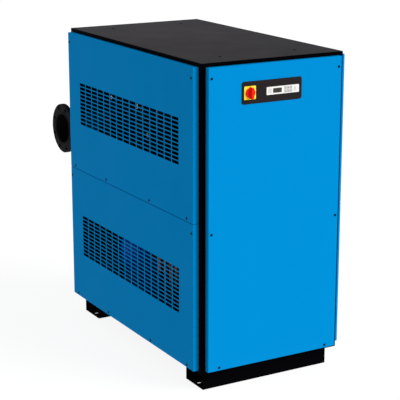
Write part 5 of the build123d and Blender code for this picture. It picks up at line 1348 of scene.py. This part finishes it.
# ---------------------------------------------------------------- outside of the cabinet
@dataclass
class FlangeTrim:
    """Gasket serrations and weld ripples on the two pipe flanges. Lengths are in metres."""

    first_groove: float = 0.0862
    groove_pitch: float = 0.0028
    grooves: int = 6
    groove_width: float = 0.0012
    groove_rise: float = 0.0004
    groove_root: float = 0.0001
    pipe_radius: float = 0.08415
    runs: int = 3
    first_run: float = 0.0018
    run_pitch: float = 0.0022
    run_half: float = 0.0016
    run_shoulder: float = 0.0010
    run_root: float = 0.0003
    run_crest: float = 0.0004
    run_ripple: float = 0.0006
    bead: float = 0.0055
    bead_taper: float = 3.2

    def build(self) -> None:
        """Trims both flanges."""
        for name, side in (("inlet", -1), ("outlet", 1)):
            low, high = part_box(f"{name}_flange")
            middle = ((low[1] + high[1]) / 2, (low[2] + high[2]) / 2)
            face_x, back_x = (low[0], high[0]) if side < 0 else (high[0], low[0])
            self.build_grooves(name, side, (face_x, *middle))
            self.build_runs(name, side, (back_x, *middle))

    def build_grooves(self, name: str, side: int, centre: Point) -> None:
        """Turns fine rings on a flange's sealing face.

        Args:
            name: "inlet" or "outlet".
            side: -1 if the flange looks to the left, 1 if to the right.
            centre: Middle of its face.
        """
        rings = Shape()
        place = facing(centre, (0, side, 0), (side, 0, 0))
        for index in range(self.grooves):
            near = self.first_groove + index * self.groove_pitch
            profile = [(near, -self.groove_root), (near + self.groove_width / 2, self.groove_rise),
                       (near + self.groove_width, -self.groove_root)]
            rings.turned(profile, place, 96)
        rings.piece(f"{name}_flange_serrations", BLACK_PIPE_PAINT)

    def build_runs(self, name: str, side: int, centre: Point) -> None:
        """Lays overlapping weld runs between a flange's back and its pipe, each lower than the last.

        Args:
            name: "inlet" or "outlet".
            side: -1 if the flange looks to the left, 1 if to the right.
            centre: Middle of its back.
        """
        beads = Shape()
        for index in range(self.runs):
            shift = side * (self.first_run + self.run_pitch * index)
            place = facing((centre[0] - shift, centre[1], centre[2]), (0, 1, 0), (-side, 0, 0))
            root = self.pipe_radius - self.run_root
            crest = self.pipe_radius + self.bead * (1 - index / self.bead_taper)
            profile = [(root, -self.run_half), (crest, -self.run_shoulder), (crest + self.run_crest, 0.0),
                       (crest, self.run_shoulder), (root, self.run_half)]
            beads.turned(profile, place, 140, ripple=self.run_ripple)
        beads.piece(f"{name}_weld_ripples", BLACK_PIPE_PAINT)


@dataclass
class DataPlate:
    """Blank rating plate on the rear upper panel, held by four rivets. Lengths are in metres."""

    width: float = 0.120
    height: float = 0.075
    thickness: float = 0.0008
    corner: float = 0.003
    lift: float = 0.0001
    soft_edge: float = 0.0002
    centre: tuple[float, float] = (0.22, 1.42)
    rivet_radius: float = 0.0028
    rivet_inset: float = 0.006
    # A rivet head's outline in shares of its radius.
    rivet_outline: tuple[tuple[float, float], ...] = (
        (0.0, 0.0), (1.0, 0.0), (0.92, 0.25), (0.6, 0.5), (0.0, 0.6))

    def build(self) -> None:
        """Builds the plate and its rivets."""
        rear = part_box("rear_upper_panel")[1][1]
        place = facing((self.centre[0], rear + self.lift, self.centre[1]), (-1, 0, 0), (0, 1, 0))
        plate = Shape()
        plate.plate(rounded(self.width, self.height, self.corner), place, self.thickness)
        plate.piece("blank_rating_plate", FIN_ALUMINIUM, bevel=self.soft_edge)
        rivets = Shape()
        head = [(self.rivet_radius * out, self.rivet_radius * up) for out, up in self.rivet_outline]
        across, up = self.width / 2 - self.rivet_inset, self.height / 2 - self.rivet_inset
        for sx in (-1, 1):
            for sy in (-1, 1):
                at = place @ Matrix.Translation((sx * across, sy * up, self.thickness))
                rivets.turned(head, at, 20)
        rivets.piece("rating_plate_rivets", ZINC_PLATE)


@dataclass
class DrainGrip:
    """Vinyl sleeve dipped over the drain lever. Lengths are in metres."""

    wall: float = 0.0012
    length: float = 0.052
    lever_sheet: float = 0.003
    nut_height: float = 0.005
    end_flat: float = 0.0005
    soft_edge: float = 0.0016

    def build(self) -> None:
        """Builds the sleeve over the lever's free end; it turns with the lever."""
        low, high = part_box("drain_lever")
        width = high[0] - low[0] + 2 * self.wall
        bottom = high[2] - self.nut_height - self.lever_sheet - self.wall
        middle = ((low[0] + high[0]) / 2, low[1] - self.wall + self.length / 2, bottom)
        sleeve = Shape()
        outline = rounded(width, self.length, width / 2 - self.end_flat, 8)
        sleeve.plate(outline, facing(middle, (1, 0, 0), (0, 0, 1)), self.lever_sheet + 2 * self.wall)
        sleeve.piece("drain_lever_sleeve", YELLOW_PLASTIC, "drain_handle", bevel=self.soft_edge)


# ---------------------------------------------------------------- studio
@dataclass(frozen=True)
class Studio:
    """Pale floor, soft light and the camera. Lengths are in metres."""

    eye: Point = (-3.4641, -6.0415, 2.6289)
    turn: float = radians(29.85)
    dip: float = radians(14.67)
    lens: float = 119.9
    shift_x: float = 0.0016
    shift_y: float = -0.0139
    floor_size: float = 60.0
    sky: float = 0.5
    sun_power: float = 3.45
    sun_softness: float = radians(40.0)
    sun_from: Point = (0.53, -0.68, 0.50)
    floor_roughness: float = 0.9
    fibre_mm: float = 3.0
    floor_glow: float = 0.90
    floor_tones: tuple[float, float] = (0.11, 0.13)

    def build(self) -> None:
        """Builds the floor, the light and the camera."""
        self.build_floor()
        self.build_light()
        self.build_camera()
        LOG.info("studio ready")

    def build_floor(self) -> None:
        """Lays a seamless paper sheet, with a glow of its own so that shadows stay faint."""
        half = self.floor_size / 2
        mesh = bpy.data.meshes.new("studio_floor")
        corners = [(-half, -half, 0.0), (half, -half, 0.0), (half, half, 0.0), (-half, half, 0.0)]
        mesh.from_pydata(corners, [], [(0, 1, 2, 3)])
        floor = bpy.data.objects.new("studio_floor", mesh)
        bpy.context.scene.collection.objects.link(floor)
        material = bpy.data.materials.new("studio_paper")
        material.use_nodes = True
        tree = material.node_tree
        tree.nodes.clear()
        place = add_node(tree, "ShaderNodeTexCoord").outputs["Object"]
        tone = remap(tree, noise(tree, place, self.fibre_mm, 3.0), (0.0, 1.0), self.floor_tones)
        shader = add_node(tree, "ShaderNodeBsdfPrincipled", {
            "Roughness": self.floor_roughness, "Specular IOR Level": 0.0, "Emission Color": WHITE_LIGHT,
            "Emission Strength": self.floor_glow}, {"Base Color": tone})
        add_node(tree, "ShaderNodeOutputMaterial", wires={"Surface": shader.outputs[0]})
        mesh.materials.append(material)

    def build_light(self) -> None:
        """Sets an even white sky and one large soft light from the front and above."""
        scene = bpy.context.scene
        world = bpy.data.worlds.new("studio_sky")
        world.use_nodes = True
        world.node_tree.nodes.clear()
        settings = {"Color": WHITE_LIGHT, "Strength": self.sky}
        sky = add_node(world.node_tree, "ShaderNodeBackground", settings)
        add_node(world.node_tree, "ShaderNodeOutputWorld", wires={"Surface": sky.outputs[0]})
        scene.world = world
        sun = bpy.data.lights.new("softbox", "SUN")
        sun.energy = self.sun_power
        sun.angle = self.sun_softness
        lamp = bpy.data.objects.new("softbox", sun)
        lamp.rotation_euler = Vector(self.sun_from).to_track_quat("Z", "Y").to_euler()
        scene.collection.objects.link(lamp)
        scene.view_settings.view_transform = "Standard"

    def build_camera(self) -> None:
        """Places the camera at the front left, a little above the cabinet."""
        lens = bpy.data.cameras.new("camera")
        lens.lens = self.lens
        lens.shift_x = self.shift_x
        lens.shift_y = self.shift_y
        camera = bpy.data.objects.new("camera", lens)
        camera.location = self.eye
        camera.rotation_euler = (pi / 2 - self.dip, 0.0, -self.turn)
        bpy.context.scene.collection.objects.link(camera)
        bpy.context.scene.camera = camera


def main() -> None:
    """Builds everything in order."""
    logging.basicConfig(level=logging.INFO, format="%(message)s")
    WORKSHOP.dress_frame()
    for assembly in (ControlFace(), FoamLining(), CondenserFins(), FanTrim(), ExchangerWrap(), VesselTrim(),
                     FlangeTrim(), DataPlate(), DrainGrip(), Studio()):
        assembly.build()


if __name__ == "__main__":
    main()
